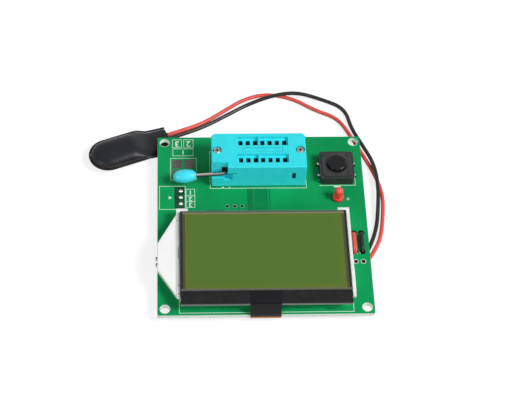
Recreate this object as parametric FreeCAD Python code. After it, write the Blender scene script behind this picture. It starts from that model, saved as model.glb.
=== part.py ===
import FreeCAD, Part
import math
import os

os.makedirs("parts", exist_ok=True)

V = FreeCAD.Vector
UP = V(0, 0, 1)

# Component tester: a bare circuit board with a lever socket, a display, a push switch, a lamp and
# a battery snap on two leads. Millimetres, origin under the board's centre on the table, +Y to the
# back, +Z up.

# Circuit board
BOARD_W = 72.0
CONTROL_D = 35.35           # depth of the board behind the display, for the socket, switch and lamp
BOARD_T = 1.6
BOARD_CORNER_R = 0.6
UNDER = 3.0                 # the trimmed pin tails hold the board this far above the table
MOUNT_D = 3.2
MOUNT_INSET_X = 2.5
MOUNT_INSET_Y = 2.5
HEADER_PITCH = 2.54
HEADER_HOLE_D = 1.0
HEADER_X = -9.36            # centre of the open two-row header
HEADER_FROM_BACK = 30.77

# Lever socket
ZIF_L = 32.8
ZIF_W = 15.2
ZIF_LEFT = -17.2
ZIF_FROM_BACK = 7.05
ZIF_FOOT_H = 0.5
ZIF_FOOT = 2.2
ZIF_BASE_H = 6.9
ZIF_COVER_H = 3.4
ZIF_BACK_R = 1.6
ZIF_FRONT_R = 0.5
ZIF_TOP_R = 0.35
ZIF_FLOOR = 1.2
PINS_PER_ROW = 7
PIN_PITCH = 2.54
ROW_PITCH = 7.62
PIN_FIELD_FROM_LEFT = 17.8  # centre of the pin field
PIN_FIELD_FROM_FRONT = 7.85
SHORT_TROUGH_PINS = 3       # the trough of each row is divided after this many pins
TROUGH_W = 3.9
TROUGH_DEPTH = 1.3
TROUGH_DIVIDER = 0.55
TROUGH_END = 1.25           # from the last pin's centre to the trough's end
ENTRY_X = 1.45
ENTRY_Y = 2.2
PANEL_L = 13.9              # shallow bare panel between the rows
PANEL_W = 1.8
PANEL_DEPTH = 0.15
FRONT_SLOT_W = 1.3
FRONT_SLOT_H = 3.0
FRONT_SLOT_DEPTH = 1.0
FRONT_SLOT_FROM_RIGHT = 4.3

# Socket screws
SCREW_D = 1.5
SCREW_L = 6.2
SCREW_HEAD_D = 2.7
SCREW_HEAD_H = 0.8
SCREW_SINK = 1.0
SCREW_SINK_D = 3.2
SCREW_FROM_LEFT = 1.95
SCREW_FROM_RIGHT = 1.99
CROSS_W = 0.42
CROSS_L = 1.7
CROSS_DEPTH = 0.45

# Lever and cam
ROD_D = 1.2
ROD_BEND_R = 0.9
PIVOT_FROM_LEFT = 4.7
PIVOT_UP = 5.5              # above the underside of the socket base
LEVER_INSET = 1.15          # rod centre behind the socket's front face
LEVER_DIP = 5.5             # degrees below level when locked
LEVER_SWING = 95.0
CAM_THROW = 0.5
CAM_R = 1.05
RECESS_D = 2.25
RECESS_L = 7.2
RECESS_UP = 4.2
JOURNAL_WALL = 1.0
KNOB_L = 8.2
KNOB_D = 4.7
KNOB_CENTRE = 14.05         # along the rod from the pivot
KNOB_BORE_END = 1.6         # solid end of the bead beyond the rod
KNOB_END_ROUND = 0.88       # radius of the bead's ends over its own
KNOB_END_REACH = 70.0       # degrees of the end's roundness before the barrel

# Slider and contacts
SLIDER_T = 2.0
SLIDER_MARGIN = 1.65        # from a row's centre line to the slider's long edge
SLIDER_BAR = 0.55
SLIDER_END = 1.5
YOKE_BAR = 0.6
YOKE_END = 0.7              # bars that bridge the cam shaft in front of and behind the cam
YOKE_SPLIT = 4.2            # gap in the yoke's left bar, round the left screw
CONTACT_T = 0.2
CONTACT_HALF = 0.42         # half the width over the two arms
CONTACT_W = 1.1
CONTACT_TIP_GAP = 0.3
TAIL_X = 0.5
TAIL_Y = 0.3
TAIL_HOLE_D = 0.95

# Display
GLASS_W = 56.6
GLASS_X = 0.0
GLASS_FROM_FRONT = 0.85     # the ledge's front edge behind the board's front edge
REAR_GLASS_D = 37.4
LEDGE_D = 4.9               # rear glass in front of the front glass
GLASS_T = 0.9
FILM_T = 0.2
FILM_INSET = 0.6
LEDGE_COVER_T = 0.7
CHIP_L = 24.0
CHIP_W = 1.6
CHIP_T = 0.45
RIBBON_W = 10.2
RIBBON_X = -0.3
RIBBON_T = 0.15
RIBBON_BOND = 1.5
RIBBON_STAND_OFF = 0.4      # from the board's front edge to the ribbon's middle
RIBBON_TAIL = 3.6
RIBBON_CREST_R = 0.5        # bend over the ledge's edge
RIBBON_SWEEP_R = 2.0        # slack bend beside the board

# Backlight
FRAME_H = 4.2
FRAME_WALL = 1.05
FRAME_FLOOR = 0.5
FRAME_SIDE_H = 5.0
FRAME_FRONT_BACK = 2.9      # frame front behind the ledge's front edge
FRAME_REAR_LAP = 0.2        # frame back wall inside the glass's back edge
HOOK_L = 3.95
HOOK_T = 1.7
SIDE_RIB_L = 12.5
SIDE_RIB_T = 0.35
SIDE_RIB_H = 3.0
WEDGE_H = 2.2
WEDGE_TIP_W = 10.4
WEDGE_ROOF = 0.5
WEDGE_FRONT_IN = 0.9        # root of the wedge behind the frame's front
LAMP_L = 4.8
LAMP_W = 1.8
LAMP_SHIFT = 0.9            # lamp in front of the middle of the wedge
LAMP_LEAD_PITCH = 2.5
LAMP_LEAD_W = 0.5
LAMP_LEAD_T = 0.3
LAMP_LEAD_OUT = 0.25        # lead's inner face beyond the board's edge

# Push switch
SWITCH_FROM_RIGHT = 9.27
SWITCH_FROM_BACK = 15.55
SWITCH_SIDE = 12.0
SWITCH_R = 1.2
SWITCH_H = 3.4
SWITCH_FLOOR = 1.0
PLATE_SIDE = 10.3
PLATE_T = 0.35
PLATE_R = 1.0
STUD_PITCH = 8.2
STUD_D = 1.0
STUD_HEAD_D = 1.6
STUD_HEAD_H = 0.25
BUTTON_D = 7.0
BUTTON_TOP = 5.2
BUTTON_EDGE_R = 0.7
BUTTON_FLANGE_D = 8.0
BUTTON_FLANGE_T = 0.8
BUTTON_TRAVEL = 0.35
PLUNGER_D = 2.4
DOME_D = 7.4
DOME_H = 0.5
DOME_T = 0.1
SWITCH_PIN_SPAN = 12.9
SWITCH_PIN_PITCH = 5.0
SWITCH_PIN_W = 0.9
SWITCH_PIN_T = 0.3
SWITCH_PIN_UP = 0.9
SWITCH_HOLE_D = 1.2

# Indicator lamp
LED_FROM_RIGHT = 9.33
LED_FROM_BACK = 27.85
LED_D = 3.0
LED_H = 5.3
LED_FLANGE_D = 3.8
LED_FLANGE_H = 1.0
LED_LIFT = 0.4
LED_PITCH = 2.54
LED_LEG = 0.5
LED_HOLE_D = 0.9

# Solder
SOLDER_H = 1.2
SOLDER_COLLAR = 0.35        # fillet beyond the hole's edge
SOLDER_TIP = 0.15           # fillet left round the pin at its lower end

# Circuit on the underside
CHIP_GAP = 0.1
MCU_SIDE = 7.0
MCU_T = 1.0
MCU_X = -6.0
MCU_Y = -9.0
MCU_PITCH = 0.8
MCU_LEADS_PER_SIDE = 8
LEAD_FOOT_W = 0.35
LEAD_FOOT_T = 0.15
LEAD_REACH = 1.0
LEAD_KNEE = 0.4             # where the lead turns down, from the package's side
CRYSTAL = (5.0, 3.2, 1.1)
CRYSTAL_AT = (-17.0, -9.0)
CHIP_BODY = (1.2, 1.25)     # ceramic between the end caps, along and across
CHIP_END = 0.4
RESISTOR_ROW = 6            # the test resistors stand in a row
RESISTOR_PITCH = 3.4
RESISTOR_ROW_X = -9.5
RESISTOR_ROW_Y = 13.2
RESISTOR_T = 0.5
CAPACITOR_T = 0.9
TRANSISTOR = (2.9, 1.3, 1.0)
TRANSISTOR_PITCH = 0.95
REGULATOR = (4.5, 2.5, 1.5)
REGULATOR_PITCH = 1.5
REGULATOR_AT = (20.0, -7.0)

# Battery leads and snap
LEAD_D = 1.4
LEAD_HOLE_D = 2.2
LEAD_BLACK_FROM_RIGHT = 2.46
LEAD_PITCH = 2.54
LEAD_JOINT_FROM_BACK = 42.65
STITCH_L = 7.85             # along the board's top, from the joint to the hole where the lead drops
SPARE_FROM_DROP = 4.07
SPARE_HOLE_D = 1.4
LEAD_STUB = 0.3             # insulation below the board at the joint
STITCH_LIFT = 0.25          # stitched stretch above the board, at its ends
STITCH_BOW = 0.2            # and the rise of its middle
CROSS_LIFT = 0.2            # black lead above the red one where it passes over
BEND_SHARE = 0.45           # of a run that the bend at each of its ends takes up
CORE_D = 0.9
SNAP_X = -53.3              # centre of the snap's round end
SNAP_Y = 31.3
SNAP_TURN = 21.0
SNAP_HALF_W = 7.0
SNAP_SHOULDER = 12.0        # where the sleeve starts to narrow
SNAP_END = 23.2
SNAP_END_HALF_W = 4.7
SNAP_TOP = 6.2
SNAP_BOTTOM = 1.9
SNAP_SLOPE_TOP = 9.0
SNAP_SLOPE_BOTTOM = 13.4
SNAP_NECK = 16.4
SNAP_NECK_LOW = 0.25
SNAP_NECK_T = 2.3
SNAP_WALL = 0.7
SNAP_SOFT_R = 0.8
SNAP_PLATE_T = 1.2
SNAP_CONTACT_PITCH = 12.7
SNAP_STUD_S = -2.6
SNAP_STUD_D = 5.6
SNAP_STUD_EDGE = 0.4
SNAP_STUD_BAND = 0.5        # height of the stud's widest band
SNAP_STUD_NECK_D = 4.6
SNAP_STUD_NECK_H = 0.5
SNAP_SOCKET_D = 6.4
SNAP_SOCKET_WALL = 0.4
SNAP_SOCKET_LIP = 0.3       # inward and outward roll of the socket's petals
SNAP_SOCKET_PETALS = 6
SNAP_RIVET_D = 2.2
SNAP_RIVET_END_D = 3.3
SNAP_RIVET_H = 0.8
LEAD_EXIT_RED = 2.2         # across the sleeve from its centre line
LEAD_EXIT_BLACK = 0.45
LEAD_RUN_IN = 5.5           # straight stretch of lead before the sleeve

# Clearances
FIT = 0.05                  # screws, shafts and locating posts
SLIDE = 0.08                # cam in its yoke
GAP = 0.1                   # moulded parts that nest
SWING_GAP = 0.3             # round the swinging lever

top = UNDER + BOARD_T
board_d = GLASS_FROM_FRONT + REAR_GLASS_D + 2 * GAP + HOOK_T + CONTROL_D
board_front = -board_d / 2
board_back = board_d / 2
board_left = -BOARD_W / 2
board_right = BOARD_W / 2


def block(x0, x1, y0, y1, z0, z1):
    return Part.makeBox(x1 - x0, y1 - y0, z1 - z0, V(x0, y0, z0))


def rod(diameter, start, end):
    start = V(*start)
    reach = V(*end) - start
    return Part.makeCylinder(diameter / 2, reach.Length, start, reach)


def prism(points, z0, z1):
    corners = [V(x, y, z0) for x, y in points]
    return Part.Face(Part.makePolygon(corners + corners[:1])).extrude(V(0, 0, z1 - z0))


def profile_y(points, y0, y1):
    """Solid of an outline in the XZ plane, from y0 to y1."""
    corners = [V(x, y0, z) for x, z in points]
    return Part.Face(Part.makePolygon(corners + corners[:1])).extrude(V(0, y1 - y0, 0))


def turned(edges, x, y):
    """Solid of revolution about the upright line through x, y; the edges close on that line."""
    face = Part.Face(Part.Wire(edges))
    solid = face.revolve(V(0, 0, 0), UP, 360)
    solid.translate(V(x, y, 0))
    return solid


def polyline(points):
    """Edges of a turned outline given as (radius, height)."""
    corners = [V(r, 0, z) for r, z in points]
    return [Part.LineSegment(a, b).toShape() for a, b in zip(corners, corners[1:])]


def fuse(solids):
    return solids[0].multiFuse(solids[1:]).removeSplitter()


def round_upright_edges(solid, radius, chosen):
    edges = []
    for edge in solid.Edges:
        first, last = edge.Vertexes[0].Point, edge.Vertexes[-1].Point
        if abs(abs(first.z - last.z) - edge.Length) < 1e-6 and chosen(first):
            edges.append(edge)
    return solid.makeFillet(radius, edges)


def top_edges(solid):
    z_max = solid.BoundBox.ZMax
    return [edge for edge in solid.Edges if edge.BoundBox.ZMin > z_max - 1e-6]


def loosest_bends(points):
    """Radius of each bend of a loose route, as large as its two runs allow."""
    radii = []
    for index in range(1, len(points) - 1):
        before = V(*points[index]) - V(*points[index - 1])
        after = V(*points[index + 1]) - V(*points[index])
        half = math.tan(before.getAngle(after) / 2)
        radii.append(BEND_SHARE * min(before.Length, after.Length) / half)
    return radii


def route_wire(points, radii):
    """Straight runs joined by tangent arcs of the given radii."""
    points = [V(*p) for p in points]
    edges = []
    at = points[0]
    for index in range(1, len(points) - 1):
        before = points[index] - points[index - 1]
        after = points[index + 1] - points[index]
        turn = before.getAngle(after)
        half = math.tan(turn / 2)
        radius = radii[index - 1]
        before.normalize()
        after.normalize()
        start = points[index] - before * (radius * half)
        end = points[index] + after * (radius * half)
        inward = after - before
        inward.normalize()
        centre = points[index] + inward * (radius / math.cos(turn / 2))
        middle = centre - inward * radius
        edges.append(Part.LineSegment(at, start).toShape())
        edges.append(Part.Arc(start, middle, end).toShape())
        at = end
    edges.append(Part.LineSegment(at, points[-1]).toShape())
    return Part.Wire(edges)


def swept_circle(wire, diameter):
    first = wire.Edges[0]
    heading = first.tangentAt(first.FirstParameter)
    circle = Part.Wire(Part.makeCircle(diameter / 2, first.Vertexes[0].Point, heading))
    return wire.makePipeShell([circle], True, True)


nodes = {}

# Lever socket: shared places
zif_x0 = ZIF_LEFT
zif_x1 = ZIF_LEFT + ZIF_L
zif_y1 = board_back - ZIF_FROM_BACK
zif_y0 = zif_y1 - ZIF_W
zif_z0 = top + ZIF_FOOT_H
zif_part = zif_z0 + ZIF_BASE_H
zif_z1 = zif_part + ZIF_COVER_H
field_x = zif_x0 + PIN_FIELD_FROM_LEFT
field_y = zif_y0 + PIN_FIELD_FROM_FRONT
row_ys = [field_y - ROW_PITCH / 2, field_y + ROW_PITCH / 2]
pin_xs = [field_x + (i - (PINS_PER_ROW - 1) / 2) * PIN_PITCH for i in range(PINS_PER_ROW)]
pins = [(x, y) for y in row_ys for x in pin_xs]
screw_places = [(zif_x0 + SCREW_FROM_LEFT, field_y), (zif_x1 - SCREW_FROM_RIGHT, field_y)]

pivot_x = zif_x0 + PIVOT_FROM_LEFT
pivot_z = zif_z0 + PIVOT_UP
lever_y = zif_y0 + LEVER_INSET
recess_y = zif_y0 + RECESS_D
recess_x = zif_x0 + RECESS_L
notch_x = pivot_x + ROD_D / 2 + SWING_GAP
chamber_y0 = recess_y + JOURNAL_WALL
slider_y0 = row_ys[0] - SLIDER_MARGIN
slider_y1 = row_ys[1] + SLIDER_MARGIN
chamber_y1 = slider_y1 + GAP
yoke_y0 = chamber_y0 + GAP
cam_y0 = yoke_y0 + YOKE_END + GAP
cam_y1 = slider_y1 - YOKE_END - GAP
half_swing = math.radians(LEVER_SWING / 2)
slide_travel = 2 * CAM_THROW * math.sin(half_swing)
cam_x = pivot_x - CAM_THROW * math.sin(half_swing)
cam_z = pivot_z + CAM_THROW * math.cos(half_swing)
slider_z1 = zif_part - GAP
slider_z0 = slider_z1 - SLIDER_T
contact_reach = CONTACT_HALF + FIT
plate_x0 = recess_x + JOURNAL_WALL
plate_x1 = pin_xs[-1] + contact_reach + SLIDER_END
yoke_x0 = cam_x - CAM_R - SLIDE - YOKE_BAR
contact_z0 = zif_z0 + ZIF_FLOOR
cam_sweep = CAM_R + CAM_THROW + GAP


def outline_block(z0, z1):
    """Block with the socket's plan, its back corners rounder than its front ones."""
    solid = block(zif_x0, zif_x1, zif_y0, zif_y1, z0, z1)
    solid = round_upright_edges(solid, ZIF_BACK_R, lambda p: p.y > zif_y1 - 1e-6)
    return round_upright_edges(solid, ZIF_FRONT_R, lambda p: p.y < zif_y0 + 1e-6)


def journal_slot(y0, y1):
    """Round-bottomed slot, open at the top, that carries the cam shaft."""
    width = ROD_D + 2 * FIT
    bottom = rod(width, (pivot_x, y0, pivot_z), (pivot_x, y1, pivot_z))
    return bottom.fuse(block(pivot_x - width / 2, pivot_x + width / 2, y0, y1, pivot_z, zif_part))


# Socket base: feet, contact wells, slider pocket, cam chamber and lever recess
def zif_base():
    solids = [outline_block(zif_z0, zif_part)]
    for x0 in (zif_x0 + ZIF_BACK_R, zif_x1 - ZIF_BACK_R - ZIF_FOOT):
        for y0 in (zif_y0 + ZIF_FRONT_R, zif_y1 - ZIF_BACK_R - ZIF_FOOT):
            solids.append(block(x0, x0 + ZIF_FOOT, y0, y0 + ZIF_FOOT, top, zif_z0))
    body = fuse(solids)
    pocket_z0 = slider_z0 - FIT
    pocket_x1 = plate_x1 + slide_travel + GAP
    cuts = [block(plate_x0 - GAP, pocket_x1, slider_y0 - GAP, chamber_y1, pocket_z0, zif_part)]
    cuts.append(block(pivot_x - cam_sweep, plate_x0, chamber_y0, chamber_y1, pocket_z0, zif_part))
    cuts.append(block(pivot_x - cam_sweep, pivot_x + cam_sweep, cam_y0 - GAP, cam_y1 + GAP, pivot_z - cam_sweep,
                      zif_part))
    for y0, y1 in hook_spans():
        cuts.append(block(yoke_x0 - GAP, pivot_x, y0 - GAP, y1 + GAP, pocket_z0, zif_part))
    cuts.append(block(zif_x0, recess_x, zif_y0, recess_y, zif_z0 + RECESS_UP, zif_part))
    cuts.append(journal_slot(recess_y, chamber_y0))
    cuts.append(journal_slot(chamber_y1, chamber_y1 + JOURNAL_WALL))
    for x, y in pins:
        well_x = CONTACT_HALF + GAP
        well_y = CONTACT_W / 2 + GAP
        cuts.append(block(x - well_x, x + well_x, y - well_y, y + well_y, contact_z0, pocket_z0))
        cuts.append(block(x - TAIL_X / 2 - FIT, x + TAIL_X / 2 + FIT, y - TAIL_Y / 2 - FIT,
                          y + TAIL_Y / 2 + FIT, zif_z0, contact_z0))
    screw_tip = zif_z1 - SCREW_SINK - SCREW_L - GAP
    for x, y in screw_places:
        cuts.append(rod(SCREW_D + 2 * FIT, (x, y, screw_tip), (x, y, zif_part)))
    slot_x = zif_x1 - FRONT_SLOT_FROM_RIGHT
    cuts.append(block(slot_x - FRONT_SLOT_W / 2, slot_x + FRONT_SLOT_W / 2, zif_y0,
                      zif_y0 + FRONT_SLOT_DEPTH, zif_part - FRONT_SLOT_H, zif_part))
    return body.cut(cuts)


def hook_spans():
    """The yoke's two hooks reach round the cam on either side of the left screw."""
    return [(yoke_y0, field_y - YOKE_SPLIT / 2), (field_y + YOKE_SPLIT / 2, slider_y1)]


# Socket cover: lead-in troughs, square entries, sunk screw seats and keepers over the cam shaft
def zif_cover():
    body = outline_block(zif_part, zif_z1)
    body = body.makeFillet(ZIF_TOP_R, top_edges(body))
    cuts = [block(zif_x0, notch_x, zif_y0, recess_y, zif_part, zif_z1)]
    split_x = (pin_xs[SHORT_TROUGH_PINS - 1] + pin_xs[SHORT_TROUGH_PINS]) / 2
    spans = [(pin_xs[0] - TROUGH_END, split_x - TROUGH_DIVIDER / 2),
             (split_x + TROUGH_DIVIDER / 2, pin_xs[-1] + TROUGH_END)]
    for y in row_ys:
        for x0, x1 in spans:
            cuts.append(block(x0, x1, y - TROUGH_W / 2, y + TROUGH_W / 2, zif_z1 - TROUGH_DEPTH, zif_z1))
    for x, y in pins:
        cuts.append(block(x - ENTRY_X / 2, x + ENTRY_X / 2, y - ENTRY_Y / 2, y + ENTRY_Y / 2,
                          zif_part, zif_z1))
    cuts.append(block(field_x - PANEL_L / 2, field_x + PANEL_L / 2, field_y - PANEL_W / 2,
                      field_y + PANEL_W / 2, zif_z1 - PANEL_DEPTH, zif_z1))
    for x, y in screw_places:
        cuts.append(rod(SCREW_SINK_D, (x, y, zif_z1 - SCREW_SINK), (x, y, zif_z1)))
        cuts.append(rod(SCREW_D + 2 * FIT, (x, y, zif_part), (x, y, zif_z1)))
    cuts.append(block(pivot_x - cam_sweep, pivot_x + cam_sweep, cam_y0 - GAP, cam_y1 + GAP, zif_part,
                      max(zif_part, pivot_z + cam_sweep) + FIT))
    body = body.cut(cuts)
    keeper_half = ROD_D / 2
    keeper_z = pivot_z + ROD_D / 2 + FIT
    keepers = []
    for y0, y1 in ((recess_y, chamber_y0), (chamber_y1, chamber_y1 + JOURNAL_WALL)):
        keepers.append(block(pivot_x - keeper_half, pivot_x + keeper_half, y0, y1, keeper_z, zif_part))
    return fuse([body] + keepers)


# Slider: windowed plate with a yoke round the cam; each bar presses one contact's arm
def zif_slider():
    plate = block(plate_x0, plate_x1, slider_y0, slider_y1, slider_z0, slider_z1)
    yoke = block(cam_x, plate_x0, yoke_y0, slider_y1, slider_z0, slider_z1)
    hooks = [block(yoke_x0, cam_x, y0, y1, slider_z0, slider_z1) for y0, y1 in hook_spans()]
    body = fuse([plate, yoke] + hooks)
    reach = CAM_R + SLIDE
    shaft = ROD_D / 2 + GAP
    shaft_x0 = pivot_x - slide_travel - shaft
    cuts = [block(cam_x - reach, cam_x + reach, cam_y0 - GAP, cam_y1 + GAP, slider_z0, slider_z1),
            block(shaft_x0, pivot_x + shaft, yoke_y0, slider_y1, slider_z0, pivot_z + shaft)]
    window_y = CONTACT_W / 2 + SWING_GAP
    for x, y in pins:
        x0 = x + contact_reach + SLIDER_BAR - PIN_PITCH
        cuts.append(block(x0, x + contact_reach, y - window_y, y + window_y, slider_z0, slider_z1))
    return body.cut(cuts)


# Contact: one strip folded into two arms that pinch the component's leg, with a tail through the board
def zif_contact(x, y):
    z0 = contact_z0
    z1 = slider_z1
    pinch = z1 - SLIDER_T / 2
    half = CONTACT_HALF
    tip = CONTACT_TIP_GAP / 2
    right = [(half, z0), (half, pinch - SLIDER_T), (tip + CONTACT_T, pinch), (half - CONTACT_T / 2, z1),
             (half - CONTACT_T * 1.5, z1), (tip, pinch), (half - CONTACT_T, pinch - SLIDER_T),
             (half - CONTACT_T, z0 + CONTACT_T)]
    left = [(-px, pz) for px, pz in reversed(right)]
    outline = [(x + px, pz) for px, pz in right + left]
    fork = profile_y(outline, y - CONTACT_W / 2, y + CONTACT_W / 2)
    return fork.fuse(zif_tail(x, y)).removeSplitter()


def zif_tail(x, y):
    return block(x - TAIL_X / 2, x + TAIL_X / 2, y - TAIL_Y / 2, y + TAIL_Y / 2, 0, contact_z0)


# Lever: steel rod bent square into the shaft that carries the cam, in its locked position
def zif_lever():
    dip = math.radians(LEVER_DIP)
    along = V(-math.cos(dip), 0, -math.sin(dip))
    corner = V(pivot_x, lever_y, pivot_z)
    tip = corner + along * (KNOB_CENTRE + KNOB_L / 2 - KNOB_BORE_END)
    shaft_end = V(pivot_x, chamber_y1 + JOURNAL_WALL - GAP, pivot_z)
    wire = route_wire([tip, corner, shaft_end], [ROD_BEND_R])
    cam = rod(2 * CAM_R, (cam_x, cam_y0, cam_z), (cam_x, cam_y1, cam_z))
    return swept_circle(wire, ROD_D).fuse(cam).removeSplitter()


# Bead: olive-shaped moulding pushed on the lever's end
def zif_knob():
    half_l = KNOB_L / 2
    half_d = KNOB_D / 2
    end_r = half_d * KNOB_END_ROUND
    end_centre = half_l - end_r
    lean = math.radians(KNOB_END_REACH)
    lip = V(end_r * math.sin(lean), 0, end_centre + end_r * math.cos(lean))
    mid = V(end_r * math.sin(lean / 2), 0, end_centre + end_r * math.cos(lean / 2))
    low_lip = V(lip.x, 0, -lip.z)
    low_mid = V(mid.x, 0, -mid.z)
    edges = [Part.Arc(V(0, 0, half_l), mid, lip).toShape(),
             Part.Arc(lip, V(half_d, 0, 0), low_lip).toShape(),
             Part.Arc(low_lip, low_mid, V(0, 0, -half_l)).toShape(),
             Part.LineSegment(V(0, 0, -half_l), V(0, 0, half_l)).toShape()]
    bore = rod(ROD_D + 2 * FIT, (0, 0, -half_l - GAP), (0, 0, half_l - KNOB_BORE_END))
    bead = turned(edges, 0, 0).cut(bore)
    bead.rotate(V(0, 0, 0), V(0, 1, 0), -90 - LEVER_DIP)
    dip = math.radians(LEVER_DIP)
    bead.translate(V(pivot_x - KNOB_CENTRE * math.cos(dip), lever_y, pivot_z - KNOB_CENTRE * math.sin(dip)))
    return bead


# Socket screw: pan head with a cross recess
def zif_screw(x, y):
    seat = zif_z1 - SCREW_SINK
    head = rod(SCREW_HEAD_D, (x, y, seat), (x, y, seat + SCREW_HEAD_H))
    head = head.makeChamfer(SCREW_HEAD_H / 3, top_edges(head))
    shank = rod(SCREW_D, (x, y, seat - SCREW_L), (x, y, seat))
    z0 = seat + SCREW_HEAD_H - CROSS_DEPTH
    z1 = seat + SCREW_HEAD_H
    arm = block(x - CROSS_L / 2, x + CROSS_L / 2, y - CROSS_W / 2, y + CROSS_W / 2, z0, z1)
    cross = block(x - CROSS_W / 2, x + CROSS_W / 2, y - CROSS_L / 2, y + CROSS_L / 2, z0, z1)
    return head.fuse(shank).cut([arm, cross]).removeSplitter()


def solder_fillet(x, y, hole_d, pin_half, pin):
    """Cone of solder under a plated hole, round the pin that it holds."""
    cone = Part.makeCone(pin_half + SOLDER_TIP, hole_d / 2 + SOLDER_COLLAR, SOLDER_H, V(x, y, UNDER - SOLDER_H))
    return cone.cut(pin)


nodes["zif_base"] = zif_base()
nodes["zif_cover"] = zif_cover()
nodes["zif_slider"] = zif_slider()
nodes["zif_contacts"] = [zif_contact(x, y) for x, y in pins]
nodes["zif_lever"] = zif_lever()
nodes["zif_knob"] = zif_knob()
nodes["zif_screws"] = [zif_screw(x, y) for x, y in screw_places]
nodes["zif_solder"] = [solder_fillet(x, y, TAIL_HOLE_D, TAIL_X / 2, zif_tail(x, y)) for x, y in pins]

# Display: shared places
glass_x0 = GLASS_X - GLASS_W / 2
glass_x1 = GLASS_X + GLASS_W / 2
ledge_y = board_front + GLASS_FROM_FRONT
glass_back = ledge_y + REAR_GLASS_D
front_glass_y = ledge_y + LEDGE_D
rear_z = top + FRAME_H
ledge_z = rear_z + GLASS_T
front_z = ledge_z + GLASS_T
film_z0 = rear_z - FILM_T


def ribbon_bond():
    """The part of the ribbon's place that lies on the ledge."""
    return block(RIBBON_X - RIBBON_W / 2 - GAP, RIBBON_X + RIBBON_W / 2 + GAP, ledge_y,
                 ledge_y + RIBBON_BOND + GAP, ledge_z, ledge_z + RIBBON_T)


chip_y = ledge_y + (RIBBON_BOND + GAP + LEDGE_D) / 2


def driver_chip(margin):
    return block(GLASS_X - CHIP_L / 2 - margin, GLASS_X + CHIP_L / 2 + margin, chip_y - CHIP_W / 2 - margin,
                 chip_y + CHIP_W / 2 + margin, ledge_z, ledge_z + CHIP_T + margin)


# Ribbon: printed tail bonded on the ledge, bent down and wrapped under the board's front edge
def lcd_ribbon():
    z_ledge = ledge_z + RIBBON_T / 2
    z_under = UNDER - RIBBON_T / 2
    y_out = board_front - RIBBON_STAND_OFF
    path = [(RIBBON_X, ledge_y + RIBBON_BOND, z_ledge), (RIBBON_X, ledge_y - RIBBON_STAND_OFF, z_ledge),
            (RIBBON_X, y_out, top + BOARD_T / 2), (RIBBON_X, y_out, z_under),
            (RIBBON_X, board_front + RIBBON_TAIL, z_under)]
    wire = route_wire(path, [RIBBON_CREST_R, RIBBON_SWEEP_R, RIBBON_STAND_OFF - RIBBON_T / 2])
    half = RIBBON_W / 2
    start = V(*path[0])
    corners = [start + V(-half, 0, -RIBBON_T / 2), start + V(half, 0, -RIBBON_T / 2),
               start + V(half, 0, RIBBON_T / 2), start + V(-half, 0, RIBBON_T / 2)]
    section = Part.makePolygon(corners + corners[:1])
    return wire.makePipeShell([section], True, False)


nodes["lcd_rear_glass"] = block(glass_x0, glass_x1, ledge_y, glass_back, rear_z, ledge_z)
nodes["lcd_front_glass"] = block(glass_x0, glass_x1, front_glass_y, glass_back, ledge_z, front_z)
nodes["lcd_front_polariser"] = block(glass_x0 + GAP, glass_x1 - GAP, front_glass_y + GAP, glass_back - GAP,
                                     front_z, front_z + FILM_T)
nodes["lcd_driver_chip"] = driver_chip(0)
nodes["lcd_ledge_cover"] = block(glass_x0, glass_x1, ledge_y, front_glass_y - GAP, ledge_z,
                                 ledge_z + LEDGE_COVER_T).cut([driver_chip(FIT), ribbon_bond()])
nodes["lcd_ribbon"] = lcd_ribbon()

# Backlight: shared places
frame_x0 = glass_x0 - 2 * GAP - FRAME_WALL
frame_x1 = glass_x1 + 2 * GAP + FRAME_WALL
frame_y0 = ledge_y + FRAME_FRONT_BACK
frame_y1 = glass_back - FRAME_REAR_LAP
hook_y0 = glass_back + 2 * GAP
hook_y1 = hook_y0 + HOOK_T
wedge_front = frame_y0 + WEDGE_FRONT_IN
wedge_y = (wedge_front + hook_y1) / 2
lamp_y0 = wedge_y - LAMP_SHIFT - LAMP_L / 2
lamp_y1 = lamp_y0 + LAMP_L
lamp_lead_ys = [wedge_y - LAMP_SHIFT + side * LAMP_LEAD_PITCH / 2 for side in (-1, 1)]
lamp_x0 = board_left + WEDGE_ROOF + GAP
lamp_z0 = top + FRAME_FLOOR
lamp_z1 = top + WEDGE_H - WEDGE_ROOF - GAP
tongue_x = lamp_x0 + LAMP_W + GAP
guide_z0 = top + FRAME_FLOOR + FILM_T
guide_x0 = frame_x0 + FRAME_WALL
guide_x1 = frame_x1 - FRAME_WALL
guide_y0 = frame_y0 + FRAME_WALL
guide_y1 = frame_y1 - FRAME_WALL


def light_way(tip_x, margin):
    """Corners of the tapered passage inside the wedge, from the lamp to the tray."""
    tip = WEDGE_TIP_W / 2 - FRAME_WALL - margin
    root_x = guide_x0 + FRAME_WALL
    return [(root_x, guide_y0 + FRAME_WALL + margin), (root_x, guide_y1 - FRAME_WALL - margin),
            (tip_x, wedge_y + tip), (tip_x, wedge_y - tip)]


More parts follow.
